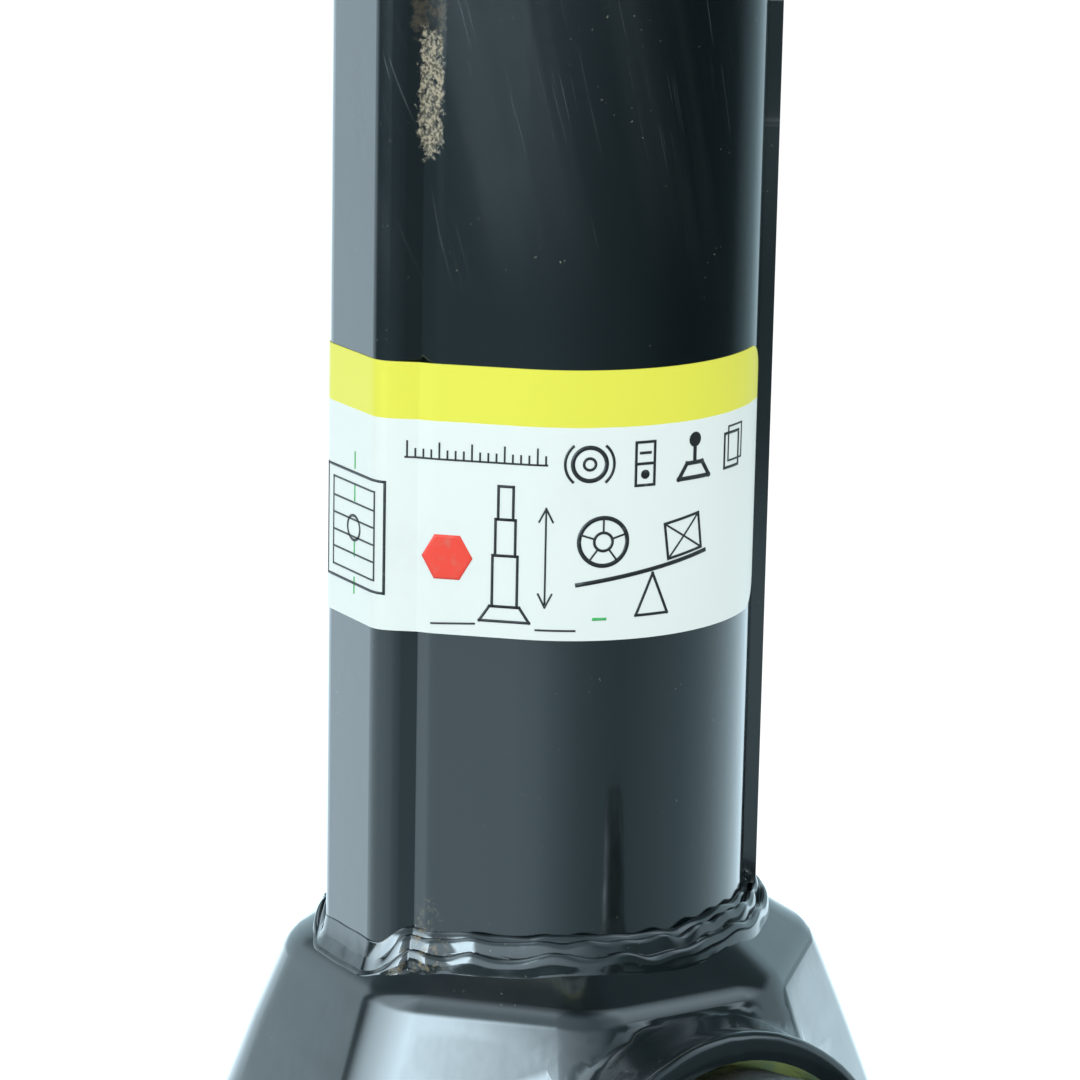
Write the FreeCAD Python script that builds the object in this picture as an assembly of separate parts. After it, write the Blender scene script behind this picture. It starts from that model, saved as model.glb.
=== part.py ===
import FreeCAD, Part
import math
import os

os.makedirs("parts", exist_ok=True)
V = FreeCAD.Vector

# Driving sizes in mm. Up is +Z, the drive boss points to -Y and the key face to -X.

# Section shared by the three tubes: a circle with one flat key face
body_radius = 24.0
key_reach = 5.0
key_corner = 3.0
shoulder_deg = 48.0
body_wall = 2.0
middle_wall = 1.8
inner_wall = 1.9
slide_gap = 0.4

# Valley rolled into each shoulder of the body tube, places measured along the shoulder from the key corner
valley_start = 1.2
valley_crease = 4.9
valley_end = 7.6
valley_round = 4.7
valley_fall_deg = 22.5
valley_rise_deg = 29.0

# Travel of each stage, and heights
stroke = 105.0
neck_z = 66.4
carrier_z = 50.0
nut_height = 20.0
saddle_height = 20.6

# Foot plate and its rivets
foot_apothem = 63.0
foot_thick = 4.0
foot_rim_height = 10.0
foot_rim_thick = 3.0
foot_corner = 16.0
foot_edge = 1.6
pad_height = 2.0
rivet_radius = 2.2
rivet_head = 3.8
rivet_count = 8

# Gear housing: flange, leaning walls, rounded shoulder, sloped roof
flange_margin = 5.0
flange_thick = 3.0
flange_corner = 13.0
shoulder_margin = 7.4
shoulder_drop = 6.8
roof_lean = 0.68
wall_lean = 0.40
housing_wall = 3.2
ridge_radius = 11.0
shoulder_radius = 5.0
foot_flare = 1.6

# Neck weld: a bead against the tube and a wider, lower one on the roof
bead_width = 1.8
bead_height = 1.6
toe_width = 3.4
toe_height = 0.8

# Lap seam of the rolled body tube
seam_deg = -32.5
seam_thick = 1.6
seam_width = 13.0
seam_corner = 7.0

# Bevel gear pair
pinion_teeth = 9
crown_teeth = 22
pressure_deg = 20.0
crown_addendum = 0.75
pinion_addendum = 1.2
flank_clearance = 0.24
tip_clearance = 0.45
drive_rise_deg = 10.0
apex_z = 29.4

# Fits
thread_clearance = 0.06
running_clearance = 0.05
seat_gap = 0.3

# Thrust bearing
ball_radius = 2.7
ball_count = 16
track_depth = 0.6
race_thick = 2.2
race_width = 12.0
cage_thick = 1.6

# Drive shaft and boss
boss_mouth_radius = 18.8
boss_lip = 1.2
journal_radius = 11.0
spigot_radius = 5.0
eye_radius = 19.5
eye_hole_radius = 6.5
eye_thick = 15.0
eye_round = 4.5

# Pins
pinion_pin_radius = 1.5
crown_pin_radius = 2.0
stop_pin_radius = 1.2
carrier_pin_radius = 1.6
nut_pin_radius = 2.0
pin_depth = 5.0
saddle_pin_depth = 3.6
pin_recess = 0.1

# Tubes, worked out from the outside inwards
body_key = body_radius + key_reach
shoulder_turn = math.radians(shoulder_deg)
key_tan = math.tan(shoulder_turn / 2)
key_half_width = (body_radius - body_key * math.cos(shoulder_turn)) / math.sin(shoulder_turn)
middle_inset = body_wall + slide_gap
inner_inset = middle_inset + middle_wall + slide_gap
bore_inset = inner_inset + inner_wall
middle_radius = body_radius - middle_inset
inner_radius = body_radius - inner_inset
bore_radius = body_radius - bore_inset
fine_corner = 0.5

# Screws, as shares of the inner tube's bore
spindle_radius = bore_radius * 16 / 35
screw_radius = bore_radius * 26 / 35
screw_bore = spindle_radius + 1.2
screw_journal = screw_radius - 1.0
screw_flange_radius = bore_radius - 1.5
screw_flange_thick = 2.5
spindle_hub_radius = spindle_radius - 0.5
stop_neck_radius = spindle_radius - 3.0
saddle_bore = screw_radius + 1.8
saddle_radius = body_radius + 2.5

# Housing and foot, as margins from the foot plate and the tube
flange_apothem = foot_apothem - flange_margin
rivet_place = flange_apothem - 4.0
dome_foot = flange_apothem - 9.5
shoulder_apothem = body_radius + shoulder_margin
flange_z = foot_thick + flange_thick
shoulder_z = neck_z - shoulder_drop
wall_height = shoulder_z - flange_z
wall_curve = (dome_foot - shoulder_apothem - wall_lean * wall_height) / wall_height ** 2
tube_bottom = neck_z - 8.5

# Thrust bearing under the crown gear
pad_z = foot_thick + pad_height
race_floor = pad_z - 1.0
crown_hub_radius = spindle_radius + 5.0
race_inner = crown_hub_radius + 1.0
race_outer = race_inner + race_width
race_middle = race_inner + race_width / 2
ball_centre = race_floor + race_thick + ball_radius - track_depth
crown_bottom = 2 * ball_centre - race_floor

# Bevel pair, all distances from the point where the two axes meet
rise = math.radians(drive_rise_deg)
drive_dir = V(0, -math.cos(rise), math.sin(rise))
apex = V(0, 0, apex_z)
shaft_angle = math.pi / 2 + rise
outer_module = dome_foot / 19.8
pinion_cone = math.atan2(math.sin(shaft_angle), crown_teeth / pinion_teeth + math.cos(shaft_angle))
crown_cone = shaft_angle - pinion_cone
cone_distance = outer_module * crown_teeth / 2 / math.sin(crown_cone)
face_width = cone_distance * 0.303
inner_cone_distance = cone_distance - face_width
crown_tip = crown_cone + crown_addendum * outer_module / cone_distance
crown_root = crown_cone - (pinion_addendum * outer_module + tip_clearance) / cone_distance
pinion_tip = pinion_cone + pinion_addendum * outer_module / cone_distance
pinion_root = pinion_cone - (crown_addendum * outer_module + tip_clearance) / cone_distance
crown_rim = cone_distance * math.sin(crown_cone) - 0.6
crown_hub_top = apex_z - 4.0
crown_pin_z = crown_hub_top - 3.4
crown_pin_length = 2 * crown_hub_radius - 0.6

# Drive line, distances from the gear apex outwards
boss_mouth = flange_apothem - 11.3
boss_lip_radius = boss_mouth_radius + 3.4
boss_flare = 8.8
boss_flare_length = 18.0
collar_radius = boss_mouth_radius - 1.3
pinion_back = cone_distance * math.cos(pinion_cone)
hub_radius = 10.4
hub_neck_radius = cone_distance * math.sin(pinion_root) - 0.7
hub_end = pinion_back + 5.6
washer_thick = 1.5
bush_start = hub_end + washer_thick
bush_end = boss_mouth - 5.0
spigot_end = pinion_back - 3.4
pinion_pin_place = hub_end - 2.0
pinion_pin_length = 2 * hub_radius - 0.4
eye_distance = boss_mouth + 43.3

# Heights of the moving stages, from the carrier upwards
carrier_thick = 6.0
carrier_pin_z = carrier_z + carrier_thick / 2
screw_bottom = carrier_z - 2.8
screw_flange_z = carrier_z + carrier_thick + seat_gap
nut_z = screw_flange_z + screw_flange_thick + 1.2
nut_pin_z = nut_z + nut_height / 2
thread_top = nut_z + nut_height + stroke + 1.0
screw_top = thread_top + 4.0
inner_thread_height = 22.0
spindle_stop_z = screw_bottom + inner_thread_height + stroke + 1.5
spindle_top = spindle_stop_z + 5.5
stop_thick = 2.6
stop_pin_z = spindle_stop_z + stop_thick + stop_pin_radius + 0.1
stop_pin_length = 2 * (screw_bore - 2.2)
body_top = nut_z + nut_height + stroke - 1.0
saddle_z = body_top + 0.6
saddle_top = saddle_z + saddle_height
saddle_pin_z = saddle_z - 6.0
plug_length = 13.0


def rod(radius, z0, z1):
    """A round bar on the screw axis."""
    return Part.makeCylinder(radius, z1 - z0, V(0, 0, z0))


def cross_rod(radius, length, z):
    """A round bar along X, centred on the screw axis."""
    return Part.makeCylinder(radius, length, V(-length / 2, 0, z), V(1, 0, 0))


def ring(r_in, r_out, z0, z1):
    """A plain ring about the screw axis."""
    return rod(r_out, z0, z1).cut(rod(r_in, z0 - 1, z1 + 1))


def turned(points):
    """A body turned about the screw axis from (radius, height) points."""
    pts = [V(r, 0, z) for r, z in points]
    face = Part.Face(Part.makePolygon(pts + [pts[0]]))
    return face.revolve(V(0, 0, 0), V(0, 0, 1), 360)


def along_drive(shape):
    """Moves a body made about +Z with the apex at zero onto the drive axis."""
    out = shape.copy()
    turn = FreeCAD.Rotation(V(0, 0, 1), drive_dir)
    out.Placement = FreeCAD.Placement(apex, turn).multiply(out.Placement)
    return out


def copies(shape, count):
    """Copies of a body spaced evenly about the screw axis."""
    out = []
    for i in range(count):
        one = shape.copy()
        one.rotate(V(0, 0, 0), V(0, 0, 1), 360.0 * i / count)
        out.append(one)
    return out


def side_pins(z, reach, radius, depth):
    """Radial pins at three places on the round side, their outer ends at reach."""
    pins = []
    for deg in (-90, 0, 90):
        a = math.radians(deg)
        d = V(math.cos(a), math.sin(a), 0)
        start = d * (reach - depth)
        pins.append(Part.makeCylinder(radius, depth, V(start.x, start.y, z), d))
    return Part.makeCompound(pins)


def key_wire(inset, corner, z):
    """The tube section moved inwards by inset: circle, two flat shoulders, rounded key face."""
    r = body_radius - inset
    h = body_key - inset
    w = key_half_width - inset * key_tan
    cut = corner * math.tan(shoulder_turn / 2)
    tx, ty = r * math.cos(shoulder_turn), r * math.sin(shoulder_turn)
    length = math.hypot(h - tx, w - ty)
    sx, sy = h - cut * (h - tx) / length, w - cut * (w - ty) / length
    ky = w - cut
    mx = h - corner + corner * math.cos(shoulder_turn / 2)
    my = ky + corner * math.sin(shoulder_turn / 2)

    def p(x, y):
        return V(-x, -y, z)

    edges = [
        Part.makeLine(p(h, -ky), p(h, ky)),
        Part.Arc(p(h, ky), p(mx, my), p(sx, sy)).toShape(),
        Part.makeLine(p(sx, sy), p(tx, ty)),
        Part.Arc(p(tx, ty), p(-r, 0), p(tx, -ty)).toShape(),
        Part.makeLine(p(tx, -ty), p(sx, -sy)),
        Part.Arc(p(sx, -sy), p(mx, -my), p(h, -ky)).toShape(),
    ]
    return Part.Wire(edges)


def key_prism(inset, corner, z0, z1):
    """A solid bar with the tube section."""
    return Part.Face(key_wire(inset, corner, z0)).extrude(V(0, 0, z1 - z0))


def key_tube(inset, wall, z0, z1):
    """A tube of the shared section, its outside moved inwards by inset."""
    corner = max(key_corner - inset, 1.4)
    inner = key_prism(inset + wall, max(corner - wall, fine_corner), z0 - 1, z1 + 1)
    return key_prism(inset, corner, z0, z1).cut(inner)


def octagon(apothem, corner, z):
    """A rounded eight-sided wire with faces to -X and -Y."""
    eighth = math.radians(22.5)
    half = (apothem - corner) * math.tan(eighth)
    reach = (apothem - corner) / math.cos(eighth) + corner

    def at(turn, side):
        a = math.radians(45 * turn)
        x = apothem * math.cos(a) - side * half * math.sin(a)
        y = apothem * math.sin(a) + side * half * math.cos(a)
        return V(x, y, z)

    edges = []
    for i in range(8):
        b = math.radians(45 * i) + eighth
        mid = V(reach * math.cos(b), reach * math.sin(b), z)
        edges.append(Part.makeLine(at(i, -1), at(i, 1)))
        edges.append(Part.Arc(at(i, 1), mid, at(i + 1, -1)).toShape())
    return Part.Wire(edges)


def octagon_prism(apothem, corner, z0, z1):
    """A straight-sided block with the eight-sided outline."""
    return Part.Face(octagon(apothem, corner, z0)).extrude(V(0, 0, z1 - z0))


def level_edges(shape, z):
    """Edges that lie flat at a height."""
    return [e for e in shape.Edges if abs(e.BoundBox.ZMin - z) < 1e-6 and abs(e.BoundBox.ZMax - z) < 1e-6]


def base_plate():
    """Foot plate with an upright rolled rim and a raised pad that seats the thrust race."""
    plate = octagon_prism(foot_apothem, foot_corner, 0, foot_rim_height)
    pocket_corner = foot_corner - foot_rim_thick
    pocket = octagon_prism(foot_apothem - foot_rim_thick, pocket_corner, foot_thick, foot_rim_height + 1)
    plate = plate.cut(pocket)
    plate = plate.makeFillet(foot_rim_thick * 0.47, level_edges(plate, foot_rim_height))
    plate = plate.makeFillet(foot_edge, level_edges(plate, 0))
    seat = race_outer + 0.15
    pad = turned([
        (0, foot_thick - 1),
        (race_outer + 6.0, foot_thick - 1),
        (race_outer + 6.0, foot_thick),
        (race_outer + 4.0, pad_z),
        (seat, pad_z),
        (seat, race_floor),
        (0, race_floor),
    ])
    plate = plate.fuse(pad)
    hole = Part.makeCylinder(rivet_radius, foot_thick + 2, V(rivet_place, 0, -1))
    sink = Part.makeCone(rivet_radius + 1.8, rivet_radius, 1.8, V(rivet_place, 0, 0))
    for one in copies(hole.fuse(sink), rivet_count):
        plate = plate.cut(one)
    return plate.removeSplitter()


def base_rivets():
    """Countersunk below, domed on top of the housing flange."""
    one = turned([
        (0, 0.1),
        (rivet_radius + 1.7, 0.1),
        (rivet_radius, 1.8),
        (rivet_radius, flange_z),
        (rivet_head, flange_z),
        (rivet_head - 0.2, flange_z + 0.9),
        (rivet_head - 1.2, flange_z + 1.8),
        (0, flange_z + 2.2),
    ])
    one.translate(V(rivet_place, 0, 0))
    return Part.makeCompound(copies(one, rivet_count))


def dome_profile(inset):
    """(apothem, height) points up the dome's bulging wall, round the shoulder and up the roof."""
    wall_angle = math.atan(wall_lean)
    roof_angle = math.pi / 2 - math.atan(roof_lean)
    mid_angle = (roof_angle + wall_angle) / 2
    back = shoulder_radius / math.cos((roof_angle - wall_angle) / 2)
    centre_r = shoulder_apothem - back * math.cos(mid_angle)
    centre_z = shoulder_z - back * math.sin(mid_angle)
    round_over = shoulder_radius - inset
    wall_top = centre_z + round_over * math.sin(wall_angle)
    low = foot_thick - 1.0 if inset else foot_thick
    flare_height = 9.0
    heights = [low] + [flange_z + step for step in (0.0, 0.7, 2.2, 5.0, flare_height)]
    heights += [flange_z + flare_height + (wall_top - flange_z - flare_height) * i / 5 for i in range(1, 5)]
    points = []
    for z in heights:
        down = shoulder_z - z
        outside = shoulder_apothem + wall_lean * down + wall_curve * down ** 2
        slope = wall_lean + 2 * wall_curve * down
        over = min(1.0, max(0.0, 1 - (z - flange_z) / flare_height))
        points.append((outside - inset * math.hypot(1, slope) + foot_flare * over ** 3, z))
    for i in range(6):
        t = wall_angle + (roof_angle - wall_angle) * i / 5
        points.append((centre_r + round_over * math.cos(t), centre_z + round_over * math.sin(t)))
    top_r, top_z = points[-1]
    for step in (2.5, 6.0, 9.0):
        points.append((top_r - step, top_z + roof_lean * step))
    return points


def dome_solid(inset):
    """The dome filled in: flared foot, leaning walls, rounded ridges, shoulder and sloped roof."""
    wires = [octagon(a, ridge_radius - 0.8 * inset, z) for a, z in dome_profile(inset)]
    return Part.makeLoft(wires, True, True)


def boss_solid():
    """Outside of the drive boss: it flares into the roof at its root and has a rounded lip."""
    flare_end = boss_mouth - 4.0
    steps = 8
    points = [(0, flare_end - boss_flare_length)]
    for i in range(steps + 1):
        t = i / steps
        grow = boss_flare * (1 - t) ** 2
        points.append((boss_lip_radius + grow, flare_end - boss_flare_length * (1 - t)))
    for i in range(4):
        t = math.radians(30 * i)
        points.append((
            boss_lip_radius - boss_lip * (1 - math.cos(t)),
            boss_mouth - boss_lip * (1 - math.sin(t)),
        ))
    points.append((0, boss_mouth))
    return along_drive(turned(points))


def gear_housing():
    """Pressed dome with flange, neck opening and drive boss, one wall thickness throughout."""
    outside = dome_solid(0.0)
    outside = outside.fuse(boss_solid())
    outside = outside.fuse(octagon_prism(flange_apothem, flange_corner, foot_thick, flange_z))
    sleeve = rod(boss_mouth_radius + housing_wall, bush_start, eye_distance)
    inside = dome_solid(housing_wall).cut(along_drive(sleeve))
    body = outside.cut(inside)
    body = body.cut(along_drive(rod(boss_mouth_radius, 10.0, eye_distance)))
    body = body.cut(key_prism(0.0, key_corner, tube_bottom - 6, body_top))
    hole = Part.makeCylinder(rivet_radius, flange_z * 2, V(rivet_place, 0, 0))
    for one in copies(hole, rivet_count):
        body = body.cut(one)
    return body.removeSplitter()


def shoulder_valleys():
    """Two long V cutters, one along each shoulder; each flank is flat and rounds over into the shoulder."""
    along = V(-math.cos(shoulder_turn + math.pi / 2), -math.sin(shoulder_turn + math.pi / 2), 0)
    outward = V(-math.cos(shoulder_turn), -math.sin(shoulder_turn), 0)
    corner = V(-body_key, -key_half_width, tube_bottom - 1)

    def at(place, depth):
        return corner + along * place - outward * depth

    fall, climb = math.radians(valley_fall_deg), math.radians(valley_rise_deg)
    flat_start = valley_start + valley_round * math.sin(fall)
    round_depth = valley_round * (1 - math.cos(fall))
    depth = round_depth + (valley_crease - flat_start) * math.tan(fall)
    spare = (valley_end - valley_crease) * math.tan(climb) - depth
    far_round = spare / (math.sin(climb) * math.tan(climb) - 1 + math.cos(climb))

    def near_side(turn):
        return at(valley_start + valley_round * math.sin(turn), valley_round * (1 - math.cos(turn)))

    def far_side(turn):
        return at(valley_end - far_round * math.sin(turn), far_round * (1 - math.cos(turn)))

    edges = [
        Part.Arc(near_side(0), near_side(fall / 2), near_side(fall)).toShape(),
        Part.makeLine(near_side(fall), at(valley_crease, depth)),
        Part.makeLine(at(valley_crease, depth), far_side(climb)),
        Part.Arc(far_side(climb), far_side(climb / 2), far_side(0)).toShape(),
        Part.makeLine(at(valley_end, 0), at(valley_end, -1.0)),
        Part.makeLine(at(valley_end, -1.0), at(valley_start, -1.0)),
        Part.makeLine(at(valley_start, -1.0), at(valley_start, 0)),
    ]
    one = Part.Face(Part.Wire(edges)).extrude(V(0, 0, body_top - tube_bottom + 2))
    return [one, one.mirror(V(0, 0, 0), V(0, 1, 0))]


def lap_seam():
    """The sheet's outer edge: it stands proud, thins out round the tube and has a rounded top corner."""
    start = math.radians(seam_deg)
    stop = start + seam_width / body_radius
    fade = stop + 4.5 / body_radius
    middle = (start + stop) / 2
    low, high = body_radius - 0.8, body_radius + seam_thick

    def at(r, a):
        return V(r * math.cos(a), r * math.sin(a), neck_z)

    edges = [
        Part.makeLine(at(low, start), at(high, start)),
        Part.Arc(at(high, start), at(high, middle), at(high, stop)).toShape(),
        Part.makeLine(at(high, stop), at(body_radius, fade)),
        Part.makeLine(at(body_radius, fade), at(low, fade)),
        Part.Arc(at(low, fade), at(low, middle), at(low, start)).toShape(),
    ]
    lap = Part.Face(Part.Wire(edges)).extrude(V(0, 0, body_top - neck_z))
    corner_z = body_top - seam_corner
    block = Part.makeBox(12, seam_corner, seam_corner, V(body_radius - 6, -0.001, corner_z))
    rounded = Part.makeCylinder(seam_corner, 14, V(body_radius - 7, seam_corner, corner_z), V(1, 0, 0))
    waste = block.cut(rounded)
    waste.translate(V(0, 0, 0.001))
    waste.rotate(V(0, 0, 0), V(0, 0, 1), seam_deg)
    return lap.cut(waste.cut(rod(body_radius, corner_z - 10, body_top + 10)))


def body_tube():
    """Rolled tube with a valley down each shoulder; its sheet edge laps over itself along one side."""
    tube = key_tube(0.0, body_wall, tube_bottom, body_top)
    for valley in shoulder_valleys():
        tube = tube.cut(valley)
    return tube.fuse(lap_seam()).removeSplitter()


def weld_bead(width, height):
    """A bead round the tube, as high over the roof as said; it keeps to the roof's slopes."""
    raised = dome_solid(0.0)
    raised.translate(V(0, 0, height))
    return raised.common(key_prism(-width, key_corner + width, tube_bottom - 10, neck_z + 10))


def neck_weld():
    """Weld that joins the tube to the dome: it runs round the tube and follows the eight roof faces."""
    solid = weld_bead(bead_width, bead_height).fuse(weld_bead(toe_width, toe_height))
    solid = solid.cut(key_prism(body_wall / 2, key_corner - body_wall / 2, tube_bottom - 20, neck_z + 20))
    solid = solid.cut(dome_solid(0.0))
    solid = solid.cut(boss_solid())
    solid = solid.cut(body_tube())
    return max(solid.Solids, key=lambda s: s.BoundBox.XLength)


def crown_half_width(height):
    """Half the crown tooth's width at a height over the pitch cone, at the outer end."""
    return math.pi * outer_module / 4 - 0.12 * outer_module - height * math.tan(math.radians(pressure_deg))


def crown_hit(azimuth, cone, roll):
    """True when a direction given on the pinion lies inside a thickened crown tooth."""
    a = azimuth + roll
    x = math.sin(cone) * math.cos(a)
    y = math.sin(cone) * math.sin(a)
    z = math.cos(cone)
    c, s = math.cos(shaft_angle), math.sin(shaft_angle)
    down = z * c + x * s
    out = z * s - x * c
    crown_angle = math.atan2(y, out)
    crown_tilt = math.atan2(math.hypot(y, out), down)
    height = (crown_tilt - crown_cone) * cone_distance
    if height > crown_addendum * outer_module + tip_clearance:
        return False
    pitch = 2 * math.pi / crown_teeth
    turn = crown_angle - roll * pinion_teeth / crown_teeth
    place = (turn % pitch) - pitch / 2
    half = crown_half_width(height) + flank_clearance
    return abs(place) * cone_distance * math.sin(crown_tilt) < half


def pinion_outline():
    """Half widths of a pinion tooth, cut away wherever a crown tooth passes while the pair rolls."""
    pitch = 2 * math.pi / pinion_teeth
    levels = 13
    rolls = [math.radians(0.5 * i) for i in range(-96, 97)]
    step = pitch / 180
    out = []
    for j in range(levels):
        cone = pinion_root + (pinion_tip - pinion_root) * j / (levels - 1)
        half = pitch / 2
        for roll in rolls:
            k = 0
            while k * step < half:
                if crown_hit(k * step, cone, roll) or crown_hit(-k * step, cone, roll):
                    half = k * step
                    break
                k += 1
        out.append((max(half - step, 0.02), cone))
    return out


def star(points, height):
    """A closed polygon at a height on the drive axis from (azimuth, cone angle) points."""
    pts = []
    for azimuth, cone in points:
        r = abs(height) * math.tan(cone)
        pts.append(V(r * math.cos(azimuth), r * math.sin(azimuth), height))
    return Part.makePolygon(pts + [pts[0]])


def bevel_pinion():
    """Pinion: its flanks are generated by rolling it against the crown gear."""
    half = pinion_outline()
    pitch = 2 * math.pi / pinion_teeth
    points = []
    for i in range(pinion_teeth):
        centre = i * pitch - math.pi / 2
        points += [(centre - h, c) for h, c in half]
        points += [(centre + h, c) for h, c in reversed(half)]
    body = Part.makeLoft([star(points, 8.0), star(points, 40.0)], True, True)
    over = pinion_tip + 0.03
    under = pinion_cone - 1.6 * outer_module / cone_distance
    near, far = inner_cone_distance, cone_distance
    body = body.common(turned([
        (0, near * math.cos(under)),
        (near * math.sin(under), near * math.cos(under)),
        (near * math.sin(over), near * math.cos(over)),
        (far * math.sin(over), far * math.cos(over)),
        (far * math.sin(under), far * math.cos(under)),
        (0, far * math.cos(under)),
    ]))
    body = body.fuse(rod(hub_neck_radius, pinion_back, hub_end))
    body = body.fuse(rod(hub_radius, hub_end - 3.8, hub_end))
    body = body.cut(rod(spigot_radius, spigot_end, hub_end + 1))
    body = body.cut(cross_rod(pinion_pin_radius, 4 * hub_radius, pinion_pin_place))
    return along_drive(body.removeSplitter())


def crown_gear():
    """Bevel wheel with straight-sided teeth, a web and a pinned hub."""
    pitch = 2 * math.pi / crown_teeth
    foot_width = crown_half_width((crown_root - crown_cone) * cone_distance)
    tip_width = crown_half_width((crown_tip - crown_cone) * cone_distance)
    foot_half = foot_width / (cone_distance * math.sin(crown_root))
    tip_half = tip_width / (cone_distance * math.sin(crown_tip))
    points = []
    for i in range(crown_teeth):
        centre = (i + 0.5) * pitch - math.pi / 2
        points.append((centre - foot_half, crown_root))
        points.append((centre - tip_half, crown_tip))
        points.append((centre + tip_half, crown_tip))
        points.append((centre + foot_half, crown_root))
    teeth = Part.makeLoft([star(points, -1.5), star(points, -14.0)], True, True)
    teeth.translate(apex)
    near, far = inner_cone_distance - 0.4, cone_distance + 0.2
    over = crown_tip + 0.05
    under = crown_root - 0.02

    def at(distance, angle):
        return (distance * math.sin(angle), apex_z - distance * math.cos(angle))

    blank = turned([
        (spindle_hub_radius, crown_bottom),
        (crown_rim, crown_bottom),
        (crown_rim, at(far, crown_root)[1] - 1.0),
        at(far, under),
        at(far, over),
        at(near, over),
        at(near, under),
        (spindle_hub_radius, at(near, crown_root)[1]),
    ])
    body = teeth.common(blank)
    body = body.fuse(rod(crown_hub_radius, crown_bottom, crown_hub_top))
    body = body.cut(rod(spindle_hub_radius, crown_bottom - 1, crown_hub_top + 1))
    body = body.cut(cross_rod(crown_pin_radius, 4 * crown_hub_radius, crown_pin_z))
    return body.removeSplitter()


def crown_pin():
    """Cross pin that turns the spindle with the crown gear."""
    return cross_rod(crown_pin_radius, crown_pin_length, crown_pin_z)


def spindle():
    """Turning screw: pivot, pinned seat, collar, thread core and stop neck."""
    collar = spindle_radius + 1.6
    relief = spindle_radius - 0.8
    body = turned([
        (0, race_floor + 1.0),
        (spindle_hub_radius - 1.5, race_floor + 1.0),
        (spindle_hub_radius, race_floor + 2.0),
        (spindle_hub_radius, crown_hub_top),
        (collar, crown_hub_top),
        (collar, crown_hub_top + 3.0),
        (relief, crown_hub_top + 4.0),
        (relief, crown_hub_top + 7.0),
        (spindle_radius, crown_hub_top + 8.0),
        (spindle_radius, spindle_stop_z - 1.0),
        (spindle_radius - 1.0, spindle_stop_z),
        (stop_neck_radius, spindle_stop_z),
        (stop_neck_radius, spindle_top - 1.0),
        (stop_neck_radius - 1.0, spindle_top),
        (0, spindle_top),
    ])
    body = body.cut(cross_rod(crown_pin_radius, crown_pin_length, crown_pin_z))
    return body.cut(cross_rod(stop_pin_radius, stop_pin_length, stop_pin_z))


def spindle_stop():
    """Washer that stops the hollow screw at the spindle's end."""
    return ring(stop_neck_radius, screw_bore - 0.5, spindle_stop_z, spindle_stop_z + stop_thick)


def stop_pin():
    """Pin that holds the stop washer on the spindle."""
    return cross_rod(stop_pin_radius, stop_pin_length, stop_pin_z)


def race(z0):
    """A hardened washer with a shallow ball track on the side of the balls."""
    track = Part.makeTorus(race_middle, ball_radius + running_clearance, V(0, 0, ball_centre))
    return ring(race_inner, race_outer, z0, z0 + race_thick).cut(track)


def thrust_race_lower():
    """Race that lies in the foot plate's seat."""
    return race(race_floor)


def thrust_race_upper():
    """Race under the crown gear."""
    return race(crown_bottom - race_thick)


def thrust_balls():
    """Ring of balls between the races."""
    return Part.makeCompound(copies(Part.makeSphere(ball_radius, V(race_middle, 0, ball_centre)), ball_count))


def ball_cage():
    """Flat ring with round pockets."""
    low = ball_centre - cage_thick / 2
    body = ring(race_inner + 1.2, race_outer - 1.2, low, low + cage_thick)
    pocket = Part.makeCylinder(ball_radius, cage_thick + 2, V(race_middle, 0, low - 1))
    for one in copies(pocket, ball_count):
        body = body.cut(one)
    return body


def drive_bush():
    """Bush pressed into the boss; the shaft runs in it."""
    return along_drive(ring(journal_radius + running_clearance, boss_mouth_radius, bush_start, bush_end))


def drive_washer():
    """Thrust washer between the pinion's hub and the bush."""
    return along_drive(ring(journal_radius - 3.0, boss_mouth_radius - 4.0, hub_end, bush_start - 0.2))


def drive_shaft():
    """Forged shaft: spigot for the pinion, journal, collar in the boss mouth, neck and ring eye."""
    step_radius = journal_radius - 3.0
    neck = 13.0
    collar_start = bush_end + seat_gap
    eye_near = eye_distance - eye_radius
    body = turned([
        (0, spigot_end + 0.3),
        (spigot_radius, spigot_end + 0.3),
        (spigot_radius, hub_end),
        (step_radius, hub_end),
        (step_radius, bush_start - 0.2),
        (journal_radius, bush_start - 0.2),
        (journal_radius, collar_start),
        (collar_radius - 0.8, collar_start),
        (collar_radius, collar_start + 0.8),
        (collar_radius, boss_mouth + 5.0),
        (collar_radius - 1.0, boss_mouth + 6.2),
        (neck, boss_mouth + 14.0),
        (neck - 1.0, eye_near + 2.0),
        (neck - 2.0, eye_near + 7.0),
        (0, eye_near + 7.0),
    ])
    eye = cross_rod(eye_radius, eye_thick, eye_distance)
    rims = [e for e in eye.Edges if len(e.Vertexes) == 1 and e.Length > 2 * eye_radius]
    body = body.fuse(eye.makeFillet(eye_round, rims))
    body = body.cut(cross_rod(eye_hole_radius, 2 * eye_thick, eye_distance))
    flare = 2.4
    for side in (-1, 1):
        mouth = V(side * eye_thick / 2, 0, eye_distance)
        body = body.cut(Part.makeCone(eye_hole_radius + flare, eye_hole_radius, flare, mouth, V(-side, 0, 0)))
    body = body.cut(cross_rod(pinion_pin_radius, pinion_pin_length, pinion_pin_place))
    return along_drive(body.removeSplitter())


def pinion_pin():
    """Cross pin that turns the pinion with the shaft."""
    return along_drive(cross_rod(pinion_pin_radius, pinion_pin_length, pinion_pin_place))


def middle_tube():
    """First moving stage, drilled for the carrier's pins."""
    tube = key_tube(middle_inset, middle_wall, carrier_z, body_top)
    return tube.cut(side_pins(carrier_pin_z, middle_radius + 2, carrier_pin_radius, pin_depth + 2))


def carrier_pins():
    """Pins that hold the carrier in the middle tube."""
    return side_pins(carrier_pin_z, middle_radius - pin_recess, carrier_pin_radius, pin_depth)


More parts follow.
